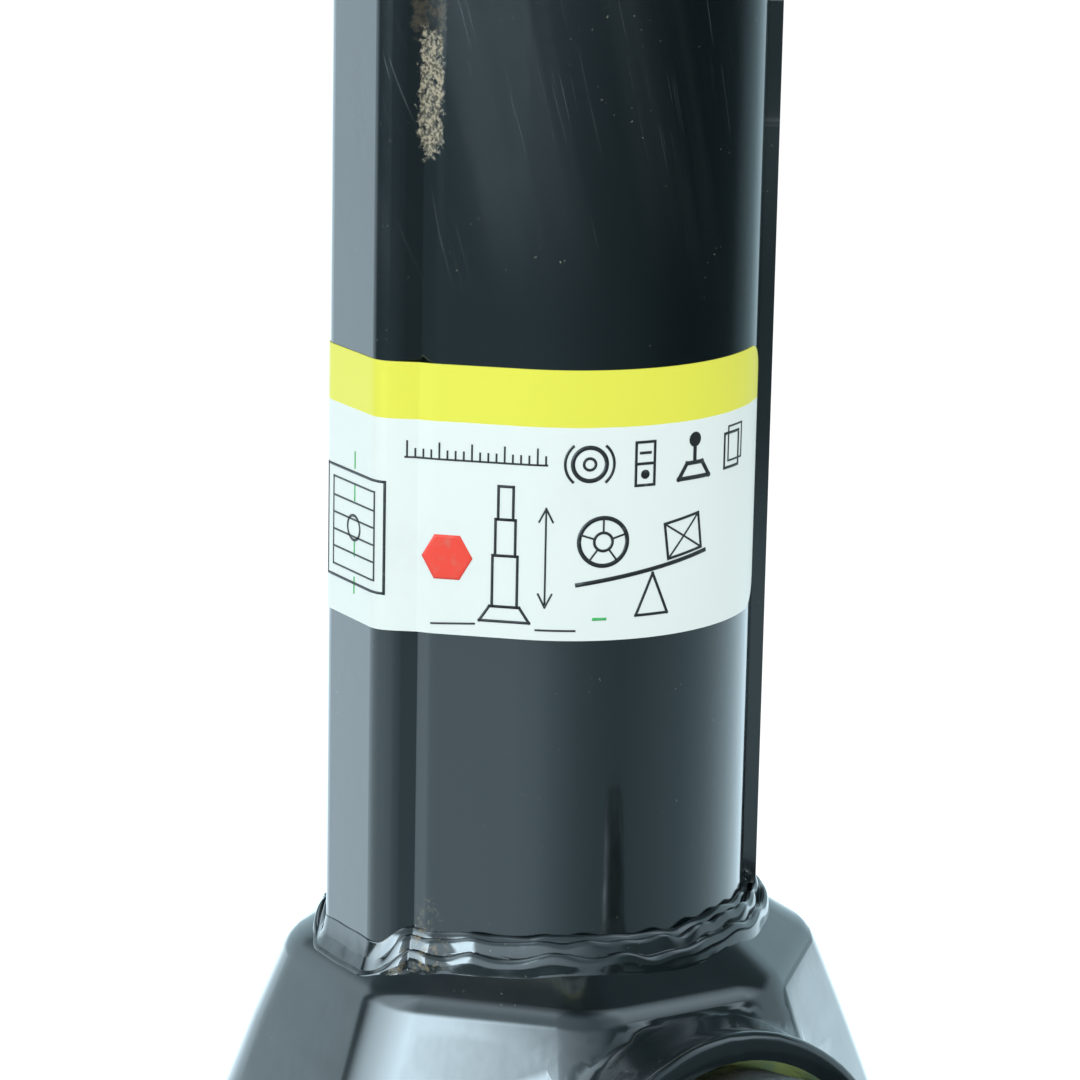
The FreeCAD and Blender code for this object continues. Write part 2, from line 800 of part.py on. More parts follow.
def carrier_ring():
    """Closes the foot of the middle tube and hangs it on the hollow screw."""
    body = key_prism(middle_inset + middle_wall, fine_corner, carrier_z, carrier_z + carrier_thick)
    body = body.cut(rod(screw_journal + running_clearance, carrier_z - 1, carrier_z + carrier_thick + 1))
    return body.cut(carrier_pins())


def hollow_screw():
    """Screw with an outer thread for the nut and an inner thread at its foot for the spindle."""
    inner = spindle_radius + thread_clearance
    neck_top = screw_radius - 1.4
    flange_top = screw_flange_z + screw_flange_thick
    return turned([
        (inner, screw_bottom),
        (screw_journal, screw_bottom),
        (screw_journal, screw_flange_z),
        (screw_flange_radius, screw_flange_z),
        (screw_flange_radius, flange_top),
        (screw_journal, flange_top),
        (screw_journal, flange_top + 0.8),
        (screw_radius, nut_z - 0.2),
        (screw_radius, thread_top),
        (neck_top, thread_top),
        (neck_top, screw_top),
        (screw_bore, screw_top),
        (screw_bore, screw_bottom + inner_thread_height + 1.0),
        (inner, screw_bottom + inner_thread_height),
    ])


def screw_retainer():
    """Ring that keeps the hollow screw in the carrier."""
    return ring(screw_journal, screw_flange_radius, screw_bottom + 0.2, carrier_z - seat_gap)


def screw_stop():
    """Ring on the hollow screw's top that stops the lift nut."""
    return ring(screw_radius - 1.4, screw_radius + 1.2, thread_top, thread_top + stop_thick)


def inner_tube():
    """Second moving stage, drilled for the nut's and the saddle's pins."""
    tube = key_tube(inner_inset, inner_wall, nut_z, saddle_z)
    for z in (nut_pin_z, saddle_pin_z):
        tube = tube.cut(side_pins(z, inner_radius + 2, nut_pin_radius, pin_depth + 2))
    return tube


def nut_pins():
    """Pins that hold the nut in the inner tube."""
    return side_pins(nut_pin_z, inner_radius - pin_recess, nut_pin_radius, pin_depth)


def lift_nut():
    """Nut that fills the foot of the inner tube; its key face stops it turning."""
    body = key_prism(bore_inset, fine_corner, nut_z, nut_z + nut_height)
    body = body.cut(rod(screw_radius + thread_clearance, nut_z - 1, nut_z + nut_height + 1))
    return body.cut(nut_pins())


def saddle_pins():
    """Pins that hold the saddle's plug in the inner tube."""
    return side_pins(saddle_pin_z, inner_radius - pin_recess, nut_pin_radius, saddle_pin_depth)


def saddle():
    """Cap with a plug in the inner tube, a hollow for the screw and a cross-grooved top."""
    plug_low = saddle_z - plug_length
    head = rod(saddle_radius, saddle_z, saddle_top)
    rims = [e for e in level_edges(head, saddle_top) if len(e.Vertexes) == 1]
    head = head.makeFillet(2.0, rims)
    waist_z = saddle_z + saddle_height * 0.42
    head = head.cut(Part.makeTorus(saddle_radius + 2.4, 4.0, V(0, 0, waist_z)))
    body = key_prism(bore_inset, fine_corner, plug_low, saddle_z + 3.0).fuse(head)
    body = body.cut(rod(saddle_bore, plug_low - 1, saddle_top - 8.0))
    depth = 1.6
    width = 2.6
    pitch = saddle_radius / 2.95
    length = 4 * saddle_radius
    for i in range(-2, 3):
        low = i * pitch - width / 2
        body = body.cut(Part.makeBox(length, width, depth + 1, V(-length / 2, low, saddle_top - depth)))
        body = body.cut(Part.makeBox(width, length, depth + 1, V(low, -length / 2, saddle_top - depth)))
    return body.cut(saddle_pins()).removeSplitter()


pieces = {
    "base_plate": base_plate,
    "base_rivets": base_rivets,
    "gear_housing": gear_housing,
    "body_tube": body_tube,
    "neck_weld": neck_weld,
    "drive_bush": drive_bush,
    "drive_washer": drive_washer,
    "drive_shaft": drive_shaft,
    "bevel_pinion": bevel_pinion,
    "pinion_pin": pinion_pin,
    "crown_gear": crown_gear,
    "crown_pin": crown_pin,
    "spindle": spindle,
    "spindle_stop": spindle_stop,
    "stop_pin": stop_pin,
    "thrust_race_lower": thrust_race_lower,
    "thrust_race_upper": thrust_race_upper,
    "thrust_balls": thrust_balls,
    "ball_cage": ball_cage,
    "middle_tube": middle_tube,
    "carrier_ring": carrier_ring,
    "carrier_pins": carrier_pins,
    "hollow_screw": hollow_screw,
    "screw_retainer": screw_retainer,
    "screw_stop": screw_stop,
    "inner_tube": inner_tube,
    "lift_nut": lift_nut,
    "nut_pins": nut_pins,
    "saddle": saddle,
    "saddle_pins": saddle_pins,
}

for name, make in pieces.items():
    shape = make()
    box = shape.BoundBox
    print(name, "solids", len(shape.Solids), "valid", shape.isValid(), "volume", round(shape.Volume))
    print("   x", round(box.XMin, 1), round(box.XMax, 1), "y", round(box.YMin, 1), round(box.YMax, 1),
          "z", round(box.ZMin, 2), round(box.ZMax, 2))
    shape.exportStep("parts/" + name + ".step")
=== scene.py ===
import math

import bmesh
import bpy
import numpy as np
from mathutils import Matrix, Vector


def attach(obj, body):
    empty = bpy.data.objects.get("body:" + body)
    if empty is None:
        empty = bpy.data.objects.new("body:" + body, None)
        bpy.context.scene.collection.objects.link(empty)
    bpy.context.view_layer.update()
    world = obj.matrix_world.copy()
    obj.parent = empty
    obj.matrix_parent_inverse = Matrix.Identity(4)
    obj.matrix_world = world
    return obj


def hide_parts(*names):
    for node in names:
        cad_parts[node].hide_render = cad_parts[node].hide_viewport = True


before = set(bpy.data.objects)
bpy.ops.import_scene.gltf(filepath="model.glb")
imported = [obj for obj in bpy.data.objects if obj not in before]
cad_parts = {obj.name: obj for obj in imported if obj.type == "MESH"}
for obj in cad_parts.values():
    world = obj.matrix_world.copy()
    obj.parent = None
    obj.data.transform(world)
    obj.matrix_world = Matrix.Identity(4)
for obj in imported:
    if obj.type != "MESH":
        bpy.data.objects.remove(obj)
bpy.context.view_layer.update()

# Body tube: steel sheet rolled to a round tube with one flat key face, lapped and seam welded.
# It is dipped in black gloss paint. Years of use left fine slanting scratches, dust specks and
# a patch of bare, dirty metal in the valley beside the key face.
body_radius = 0.024
key_reach = 0.029
key_corner = 0.003
shoulder_turn = math.radians(48.0)
key_half = (body_radius - key_reach * math.cos(shoulder_turn)) / math.sin(shoulder_turn)
shoulder_out = (-math.cos(shoulder_turn), -math.sin(shoulder_turn), 0.0)
shoulder_along = (math.sin(shoulder_turn), -math.cos(shoulder_turn), 0.0)
valley_start, valley_crease, valley_end = 0.0012, 0.0049, 0.0076
valley_round = 0.0047
valley_fall, valley_rise = math.radians(22.5), math.radians(29.0)
paint_black = (0.0022, 0.0055, 0.0070, 1.0)
dust_pale = (0.36, 0.38, 0.3, 1.0)
scratches_from, scratches_full = 0.140, 0.160
worn_low, worn_high = 0.1600, 0.1760
stain_low, stain_high = 0.1725, 0.2100
foot_low, foot_high = 0.0640, 0.0715


class Finish:
    """A node material of one principled shader, with short calls for the maths and patterns that feed it."""

    def __init__(self, name, colour, roughness, metallic=0.0):
        self.material = bpy.data.materials.new(name)
        self.material.use_nodes = True
        self.tree = self.material.node_tree
        self.shader = self.tree.nodes["Principled BSDF"]
        self.shader.inputs["Base Color"].default_value = colour
        self.shader.inputs["Roughness"].default_value = roughness
        self.shader.inputs["Metallic"].default_value = metallic
        self.place = self.node("ShaderNodeTexCoord").outputs["Object"]

    def node(self, kind):
        """Adds a shader node of a kind."""
        return self.tree.nodes.new(kind)

    def link(self, source, target):
        """Feeds a socket from another one, or sets it to a plain value."""
        if isinstance(source, bpy.types.NodeSocket):
            self.tree.links.new(source, target)
        else:
            target.default_value = source

    def maths(self, operation, a, b, c=0.0):
        """One operation on a and b, such as a times b plus c for MULTIPLY_ADD."""
        n = self.node("ShaderNodeMath")
        n.operation = operation
        for socket, value in zip(n.inputs, (a, b, c)):
            self.link(value, socket)
        return n.outputs[0]

    def times(self, product, *others):
        """Product of two or more values."""
        for other in others:
            product = self.maths("MULTIPLY", product, other)
        return product

    def parts(self):
        """The x, y and z of the place on the object."""
        n = self.node("ShaderNodeSeparateXYZ")
        self.link(self.place, n.inputs[0])
        return n.outputs

    def join(self, x, y, z):
        """A vector of x, y and z."""
        n = self.node("ShaderNodeCombineXYZ")
        for socket, value in zip(n.inputs, (x, y, z)):
            self.link(value, socket)
        return n.outputs[0]

    def along(self, direction, origin):
        """Distance from origin along a direction."""
        shift = self.node("ShaderNodeVectorMath")
        shift.operation = "SUBTRACT"
        self.link(self.place, shift.inputs[0])
        shift.inputs[1].default_value = origin
        dot = self.node("ShaderNodeVectorMath")
        dot.operation = "DOT_PRODUCT"
        self.link(shift.outputs[0], dot.inputs[0])
        dot.inputs[1].default_value = direction
        return dot.outputs["Value"]

    def noise(self, scale, detail=3.0, roughness=0.55, vector=None):
        """Cloudy noise from 0 to 1 over a vector, or over the place on the object."""
        n = self.node("ShaderNodeTexNoise")
        self.link(vector or self.place, n.inputs["Vector"])
        n.inputs["Scale"].default_value = scale
        n.inputs["Detail"].default_value = detail
        n.inputs["Roughness"].default_value = roughness
        return n.outputs["Fac"]

    def between(self, value, low, high, out_low=0.0, out_high=1.0):
        """Smooth step of a value from one range to another."""
        n = self.node("ShaderNodeMapRange")
        n.interpolation_type = "SMOOTHSTEP"
        self.link(value, n.inputs["Value"])
        for key, number in (("From Min", low), ("From Max", high), ("To Min", out_low), ("To Max", out_high)):
            n.inputs[key].default_value = number
        return n.outputs[0]

    def window(self, value, low, high, soft):
        """One inside low to high and zero outside: a soft rise at low times a soft fall at high."""
        rise = self.between(value, low - soft, low + soft)
        fall = self.between(value, high - soft, high + soft, 1.0, 0.0)
        return self.times(rise, fall)

    def mix(self, amount, first, second):
        """A colour between two: the first where the amount is 0, the second where it is 1."""
        n = self.node("ShaderNodeMix")
        n.data_type = "RGBA"
        self.link(amount, n.inputs[0])
        self.link(first, n.inputs[6])
        self.link(second, n.inputs[7])
        return n.outputs[2]

    def colour(self, value):
        """Feeds the shader's colour."""
        self.link(value, self.shader.inputs["Base Color"])

    def rough(self, value):
        """Feeds the shader's roughness."""
        self.link(value, self.shader.inputs["Roughness"])

    def bump(self, height, strength, distance):
        """Small relief from a height pattern."""
        n = self.node("ShaderNodeBump")
        n.inputs["Strength"].default_value = strength
        n.inputs["Distance"].default_value = distance
        self.link(height, n.inputs["Height"])
        self.link(n.outputs[0], self.shader.inputs["Normal"])

    def coat(self, weight, roughness):
        """A clear glossy layer over the colour, with its share and its own roughness."""
        self.shader.inputs["Coat Weight"].default_value = weight
        self.shader.inputs["Coat Roughness"].default_value = roughness

    def put_on(self, *names):
        """Gives the material to CAD nodes by name."""
        for name in names:
            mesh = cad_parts[name].data
            mesh.materials.clear()
            mesh.materials.append(self.material)


def add_dust(finish, base, amount):
    """Pale dust specks: the peaks of a fine noise, thinned by a coarse one."""
    specks = finish.between(finish.noise(1500.0, 2.0), 0.715, 0.75)
    patches = finish.between(finish.noise(90.0, 2.0), 0.5, 0.68)
    return finish.mix(finish.times(specks, patches, amount), base, dust_pale)


tube_paint = Finish("black_gloss_tube_paint", paint_black, 0.17)
tube_paint.coat(1.0, 0.05)
place_x, place_y, place_z = tube_paint.parts()
round_way = tube_paint.times(tube_paint.maths("ARCTAN2", place_y, place_x), body_radius)
lean = 0.24
across = tube_paint.maths("MULTIPLY_ADD", place_z, lean, round_way)
streak_way = tube_paint.join(tube_paint.times(across, 95.0), tube_paint.times(place_z, 2.2), 0.0)
hair_way = tube_paint.join(tube_paint.times(across, 42.0), tube_paint.times(place_z, 1.5), 3.0)
upper_part = tube_paint.between(place_z, scratches_from, scratches_full)
hairs = tube_paint.between(tube_paint.noise(26.0, 2.0, 0.6, streak_way), 0.61, 0.70)
gaps = tube_paint.between(tube_paint.noise(9.0, 2.0, 0.5, hair_way), 0.44, 0.62)
scratches = tube_paint.times(hairs, gaps, upper_part)
haze = tube_paint.between(tube_paint.noise(3.0, 3.0, 0.6, hair_way), 0.42, 0.7)
haze = tube_paint.times(haze, upper_part)
sharp_corner = (-key_reach, -key_half, 0.0)
valley_way = tube_paint.along(shoulder_along, sharp_corner)
valley_off = tube_paint.along(shoulder_out, sharp_corner)
in_valley = tube_paint.window(valley_off, -0.0018, 0.0006, 0.0002)
worn_width = tube_paint.window(valley_way, 0.0040, 0.0076, 0.0009)
worn_height = tube_paint.window(place_z, worn_low, worn_high, 0.0030)
foot_width = tube_paint.window(valley_way, 0.0045, 0.0090, 0.0012)
foot_height = tube_paint.window(place_z, foot_low, foot_high, 0.0025)
worn_place = tube_paint.times(worn_width, worn_height, in_valley)
foot_place = tube_paint.times(foot_width, foot_height, in_valley)
crumbs = tube_paint.noise(900.0, 5.0, 0.75)
grain = tube_paint.noise(2600.0, 3.0)
worn = tube_paint.between(tube_paint.maths("MULTIPLY_ADD", worn_place, 0.40, crumbs), 0.76, 0.90)
foot_dirt = tube_paint.between(tube_paint.maths("MULTIPLY_ADD", foot_place, 0.24, crumbs), 0.72, 0.92)
dirt = tube_paint.maths("MAXIMUM", worn, tube_paint.times(foot_dirt, 0.3))
sand_dark, sand_pale = (0.06, 0.055, 0.035, 1.0), (0.40, 0.37, 0.27, 1.0)
khaki = tube_paint.mix(tube_paint.between(grain, 0.38, 0.62), sand_dark, sand_pale)
stain_width = tube_paint.window(valley_way, 0.0032, 0.0080, 0.0010)
stain_height = tube_paint.window(place_z, stain_low, stain_high, 0.0035)
stain = tube_paint.times(stain_width, stain_height, in_valley)
stain = tube_paint.between(tube_paint.maths("MULTIPLY_ADD", stain, 0.36, crumbs), 0.72, 0.98)
scuffs = tube_paint.maths("MULTIPLY_ADD", scratches, 0.09, tube_paint.times(haze, 0.016))
shade = tube_paint.mix(scuffs, paint_black, (0.30, 0.34, 0.36, 1.0))
shade = add_dust(tube_paint, shade, 0.5)
shade = tube_paint.mix(stain, shade, (0.055, 0.047, 0.032, 1.0))
tube_paint.colour(tube_paint.mix(dirt, shade, khaki))
tube_rough = tube_paint.maths("MULTIPLY_ADD", haze, 0.10, 0.15)
tube_rough = tube_paint.maths("MULTIPLY_ADD", scratches, 0.12, tube_rough)
tube_paint.rough(tube_paint.maths("MULTIPLY_ADD", dirt, 0.6, tube_rough))
tube_paint.bump(tube_paint.noise(420.0, 2.0), 0.05, 0.0004)
tube_paint.put_on("body_tube")


# Foot plate and gear housing: sheet steel drawn in a press, dipped in the same black gloss paint.
# The paint is thick and smooth on the housing; the plate's rim and underside are scuffed.
# The housing is shown by a copy of its CAD mesh with points merged, so that its bends shade smoothly.
housing_paint = Finish("black_gloss_housing_paint", paint_black, 0.2)
housing_paint.coat(1.0, 0.06)
housing_paint.colour(add_dust(housing_paint, paint_black, 0.35))
housing_rough = housing_paint.between(housing_paint.noise(60.0, 4.0), 0.35, 0.7, 0.16, 0.25)
housing_paint.rough(housing_rough)
housing_paint.bump(housing_paint.noise(260.0, 2.0), 0.06, 0.0005)
housing_paint.put_on("gear_housing")
housing_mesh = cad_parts["gear_housing"].data.copy()
housing_mesh.name = "housing_pressing"
pressing = bmesh.new()
pressing.from_mesh(housing_mesh)
bmesh.ops.remove_doubles(pressing, verts=pressing.verts, dist=1e-6)
pressing.to_mesh(housing_mesh)
pressing.free()
housing_mesh.shade_smooth()
housing_mesh.set_sharp_from_angle(angle=math.radians(25.0))
housing = bpy.data.objects.new("housing_pressing", housing_mesh)
bpy.context.scene.collection.objects.link(housing)
even = housing.modifiers.new("flat_faces_stay_flat", "WEIGHTED_NORMAL")
even.keep_sharp = True
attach(housing, "housing")
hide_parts("gear_housing")

foot_paint = Finish("black_scuffed_foot_paint", paint_black, 0.28)
foot_paint.coat(0.6, 0.12)
foot_z = foot_paint.parts()[2]
rim_from, rim_top = 0.0085, 0.0099
under_from, under_full = 0.0014, 0.0002
rim_wear = foot_paint.between(foot_z, rim_from, rim_top)
rim_chips = foot_paint.between(foot_paint.noise(160.0, 5.0, 0.7), 0.52, 0.62)
rim_wear = foot_paint.times(rim_wear, rim_chips)
under_wear = foot_paint.between(foot_z, under_from, under_full)
under_chips = foot_paint.between(foot_paint.noise(70.0, 5.0, 0.7), 0.4, 0.6)
under_wear = foot_paint.times(under_wear, under_chips)
foot_worn = foot_paint.maths("MAXIMUM", rim_wear, under_wear)
foot_shade = add_dust(foot_paint, paint_black, 0.6)
foot_paint.colour(foot_paint.mix(foot_worn, foot_shade, (0.24, 0.21, 0.17, 1.0)))
foot_paint.rough(foot_paint.maths("MULTIPLY_ADD", foot_worn, 0.35, 0.26))
foot_paint.bump(foot_paint.noise(320.0, 3.0), 0.08, 0.0005)
foot_paint.put_on("base_plate")


# Label: printed vinyl film wrapped round the tube from beyond the key face to just before the seam.
# White with a yellow band along its top; it spans most of the valley's depth, and its corners are round.
label_start, label_end = -0.0190, 0.0612
label_low, label_high = 0.10376, 0.13640
band_low = 0.1296
label_corner = 0.0035
film_bridge = 0.75


def flank(way, radius, slope):
    """Depth of a valley's flank at a distance from its edge: an arc that bends into a straight slope."""
    way = np.clip(way, 0, None)
    bend = radius * math.sin(slope)
    curved = radius - np.sqrt(radius ** 2 - np.minimum(way, bend) ** 2)
    return curved + np.clip(way - bend, 0, None) * math.tan(slope)


def tube_outline(s):
    """Points round the body tube's outside, with the outward direction, side and valley depth at each.
    s runs from the middle of the key face along the sheet: straight key face, corner arc, straight
    shoulder with its valley, then the round."""
    side = np.where(s < 0, -1.0, 1.0)
    a = np.abs(s)
    cut = key_corner * math.tan(shoulder_turn / 2)
    flat = key_half - cut
    bend = key_corner * shoulder_turn
    touch = (body_radius * math.cos(shoulder_turn), body_radius * math.sin(shoulder_turn))
    length = math.hypot(key_reach - touch[0], key_half - touch[1])
    on_flat = a < flat
    on_corner = (a >= flat) & (a < flat + bend)
    q = cut + a - flat - bend
    on_shoulder = (a >= flat + bend) & (q < length)
    turn = np.where(on_flat, 0.0, np.where(on_corner, (a - flat) / key_corner, shoulder_turn))
    turn = np.where(q >= length, shoulder_turn + (q - length) / body_radius, turn)
    nx, ny = np.cos(turn), np.sin(turn)
    x = np.where(on_flat, key_reach, key_reach - key_corner + key_corner * nx)
    y = np.where(on_flat, a, flat + key_corner * ny)
    x = np.where(on_shoulder, key_reach + (touch[0] - key_reach) * q / length, x)
    y = np.where(on_shoulder, key_half + (touch[1] - key_half) * q / length, y)
    x = np.where(q >= length, body_radius * nx, x)
    y = np.where(q >= length, body_radius * ny, y)
    near = flank(q - valley_start, valley_round, valley_fall)
    deepest = float(flank(valley_crease - valley_start, valley_round, valley_fall))
    spare = (valley_end - valley_crease) * math.tan(valley_rise) - deepest
    far_round = spare / (math.sin(valley_rise) * math.tan(valley_rise) - 1 + math.cos(valley_rise))
    far = flank(valley_end - q, far_round, valley_rise)
    depth = np.where(on_shoulder, np.where(q < valley_crease, near, far), 0.0)
    return x, y, nx, ny, side, depth


def on_tube(s, z, lift, bridge=0.0):
    """Places points at distance s round the tube and height z, lifted off the paint.
    bridge is the share of the valley's depth that the film spans."""
    x, y, nx, ny, side, depth = tube_outline(s)
    out = lift - depth * (1 - bridge)
    return np.stack([-(x + nx * out), -side * (y + ny * out), z + 0 * s], axis=-1)


def grid_quads(rows, columns, wrap_rows=False, wrap_columns=False, start=0):
    """Four-cornered faces between neighbouring points of a grid."""
    i = np.arange(rows if wrap_rows else rows - 1)[:, None]
    j = np.arange(columns if wrap_columns else columns - 1)[None, :]
    i2, j2 = (i + 1) % rows, (j + 1) % columns
    quads = np.stack([i * columns + j, i2 * columns + j, i2 * columns + j2, i * columns + j2], axis=-1)
    return quads.reshape(-1, 4) + start


def build_piece(name, grids, finish, body, smooth=True):
    """One mesh from several grids of points, each (points, wrap_rows, wrap_columns), with doubles
    merged, faces turned outwards and the material and body given."""
    verts, quads, count = [], [], 0
    for points, wrap_rows, wrap_columns in grids:
        rows, columns = points.shape[:2]
        verts.append(points.reshape(-1, 3))
        quads.append(grid_quads(rows, columns, wrap_rows, wrap_columns, count))
        count += rows * columns
    mesh = bpy.data.meshes.new(name)
    mesh.from_pydata(np.concatenate(verts).tolist(), [], np.concatenate(quads).tolist())
    work = bmesh.new()
    work.from_mesh(mesh)
    bmesh.ops.remove_doubles(work, verts=work.verts, dist=1e-7)
    bmesh.ops.recalc_face_normals(work, faces=work.faces)
    work.to_mesh(mesh)
    work.free()
    if smooth:
        mesh.shade_smooth()
    mesh.materials.append(finish.material)
    piece = bpy.data.objects.new(name, mesh)
    bpy.context.scene.collection.objects.link(piece)
    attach(piece, body)
    return piece


def film(start, end, low, high, corner, under, over):
    """A sheet on the tube: a grid over length and height whose two ends are rounded off, carried
    once under and once over, so that its edge is closed."""
    s = np.linspace(start, end, 420)[:, None]
    end_gap = np.minimum(s - start, end - s)
    inset = corner - np.sqrt(np.clip(corner ** 2 - np.clip(corner - end_gap, 0, corner) ** 2, 0, None))
    v = np.linspace(0, 1, 12)[None, :]
    z = low + inset + (high - low - 2 * inset) * v
    s = s + 0 * v
    front = on_tube(s, z, over, film_bridge)
    back = on_tube(s, z, under, film_bridge)
    return np.concatenate([front, back[:, ::-1]], axis=1)


film_white, film_grey = (0.75, 0.865, 0.85, 1.0), (0.52, 0.6, 0.6, 1.0)
film_yellow, film_dull_yellow = (0.76, 0.80, 0.075, 1.0), (0.6, 0.6, 0.16, 1.0)
label_film = Finish("label_film", film_white, 0.36)
label_film.shader.inputs["Specular IOR Level"].default_value = 0.45
label_z = label_film.parts()[2]
edge_noise = label_film.noise(300.0, 3.0)
band_edge = label_film.maths("MULTIPLY_ADD", edge_noise, 0.00012, label_z)
in_band = label_film.between(band_edge, band_low - 0.00004, band_low + 0.00008)
grime = label_film.between(label_film.noise(55.0, 6.0, 0.65), 0.52, 0.8)
white = label_film.mix(label_film.times(grime, 0.16), film_white, film_grey)
yellow = label_film.mix(label_film.times(grime, 0.2), film_yellow, film_dull_yellow)
label_film.colour(label_film.mix(in_band, white, yellow))
label_film.bump(label_film.noise(70.0, 3.0), 0.08, 0.0006)
label_grid = film(label_start, label_end, label_low, label_high, label_corner, 0.00002, 0.00012)
label_grids = [(label_grid, False, True)]
build_piece("label_film", label_grids, label_film, "housing", smooth=False)


# Label print: thin lines and patches of black, red and green ink, plain shapes only.
# A scale, plain rings and boxes, a stepped column on a foot, a wheel and a beam on a wedge.
ink_under, ink_over = 0.00010, 0.00017


def stroke(s0, z0, s1, z1, width):
    """A straight line of ink, as a thin closed bar that follows the film; sizes in mm."""
    t = np.linspace(0, 1, 14)
    length = math.hypot(s1 - s0, z1 - z0)
    ds, dz = (s1 - s0) / length, (z1 - z0) / length
    extra = width / 2
    s = s0 - ds * extra + (s1 - s0 + 2 * ds * extra) * t
    z = z0 - dz * extra + (z1 - z0 + 2 * dz * extra) * t
    return bar_of_ink(s, z, -dz * width / 2 + 0 * t, ds * width / 2 + 0 * t), False, True


def bar_of_ink(s, z, side_s, side_z):
    """Four long edges of a line of ink: both sides, under and over. Its ends are pinched shut."""
    edges = []
    for sign, lift in ((-1, ink_under), (-1, ink_over), (1, ink_over), (1, ink_under)):
        edges.append(on_tube((s + sign * side_s) / 1000, (z + sign * side_z) / 1000, lift, film_bridge))
    bar = np.stack(edges, axis=1)
    first = bar[:1].mean(axis=1, keepdims=True).repeat(4, axis=1)
    last = bar[-1:].mean(axis=1, keepdims=True).repeat(4, axis=1)
    return np.concatenate([first, bar, last], axis=0)


def hoop(s0, z0, radius, width, start=0.0, stop=360.0):
    """A ring or an arc of ink: points at a radius round its middle, from one angle in degrees to another."""
    a = np.radians(np.linspace(start, stop, 60))
    s, z = s0 + radius * np.cos(a), z0 + radius * np.sin(a)
    return bar_of_ink(s, z, np.cos(a) * width / 2, np.sin(a) * width / 2), False, True


def blot(s0, z0, radius, sides=48, turn=0.0):
    """A filled round or many-sided patch of ink: rings from its middle below, over its edge, to its
    middle above."""
    a = np.radians(turn) + np.linspace(0, 2 * math.pi, 48, endpoint=False)
    step = 2 * math.pi / sides
    reach = radius * np.cos(step / 2) / np.cos((a % step) - step / 2)
    shares = [i / 8 for i in range(9)]
    rings = []
    for share, lift in [(t, ink_under) for t in shares] + [(t, ink_over) for t in reversed(shares)]:
        ring_s = (s0 + share * reach * np.cos(a)) / 1000
        ring_z = (z0 + share * reach * np.sin(a)) / 1000
        rings.append(on_tube(ring_s, ring_z, lift, film_bridge))
    return np.stack(rings, axis=0), False, True


def loop(points, width):
    """Lines of ink from point to point and back to the first."""
    return [stroke(*a, *b, width) for a, b in zip(points, points[1:] + points[:1])]


def box_of_ink(s0, z0, wide, high, width):
    """An upright box of four lines of ink."""
    return loop([(s0, z0), (s0 + wide, z0), (s0 + wide, z0 + high), (s0, z0 + high)], width)


fine, plain, bold = 0.22, 0.32, 0.5
black_marks = []
# a ruler with long and short ticks
black_marks.append(stroke(9.4, 125.0, 26.4, 125.0, fine))
for i in range(18):
    black_marks.append(stroke(9.6 + i * 0.98, 125.0, 9.6 + i * 0.98, 126.9 if i % 4 == 0 else 126.0, fine))
# a frame with slats, over the key face
black_marks += box_of_ink(-5.6, 108.2, 12.6, 13.6, plain)
black_marks += box_of_ink(-4.2, 109.6, 9.8, 10.8, fine)
for i in range(4):
    black_marks.append(stroke(-4.2, 111.8 + i * 2.1, 5.6, 111.8 + i * 2.1, fine))
black_marks.append(hoop(0.8, 115.0, 1.5, plain))
# a stepped column on a foot, with a lift arrow
black_marks += box_of_ink(20.1, 107.6, 3.0, 6.2, plain)
black_marks += box_of_ink(20.4, 113.8, 2.4, 4.4, plain)
black_marks += box_of_ink(20.7, 118.2, 1.8, 4.0, plain)
black_marks += loop([(18.6, 105.8), (24.6, 105.8), (23.4, 107.6), (19.8, 107.6)], plain)
black_marks.append(stroke(26.4, 108.2, 26.4, 119.4, fine))
black_marks += [stroke(26.4, 119.8, 25.6, 118.2, fine), stroke(26.4, 119.8, 27.2, 118.2, fine)]
black_marks += [stroke(26.4, 107.8, 25.6, 109.4, fine), stroke(26.4, 107.8, 27.2, 109.4, fine)]
black_marks.append(stroke(12.8, 105.0, 18.0, 105.3, fine))
black_marks.append(stroke(25.4, 105.0, 30.0, 105.0, fine))
# a beam that rests on a wedge and carries a crate
black_marks.append(stroke(30.2, 110.6, 47.2, 113.4, bold))
black_marks += loop([(37.4, 106.6), (41.6, 106.6), (39.5, 111.6)], plain)
black_marks += loop([(41.6, 113.1), (46.6, 113.9), (46.0, 118.2), (41.0, 117.4)], plain)
black_marks.append(stroke(41.6, 113.1, 46.0, 118.2, fine))
black_marks.append(stroke(46.6, 113.9, 41.0, 117.4, fine))
# a wheel
black_marks += [hoop(33.2, 115.8, 2.9, bold), hoop(33.2, 115.8, 1.1, plain)]
for i in range(5):
    turn = math.radians(72 * i + 90)
    near_s, near_z = 33.2 + 1.1 * math.cos(turn), 115.8 + 1.1 * math.sin(turn)
    far_s, far_z = 33.2 + 2.7 * math.cos(turn), 115.8 + 2.7 * math.sin(turn)
    black_marks.append(stroke(near_s, near_z, far_s, far_z, fine))
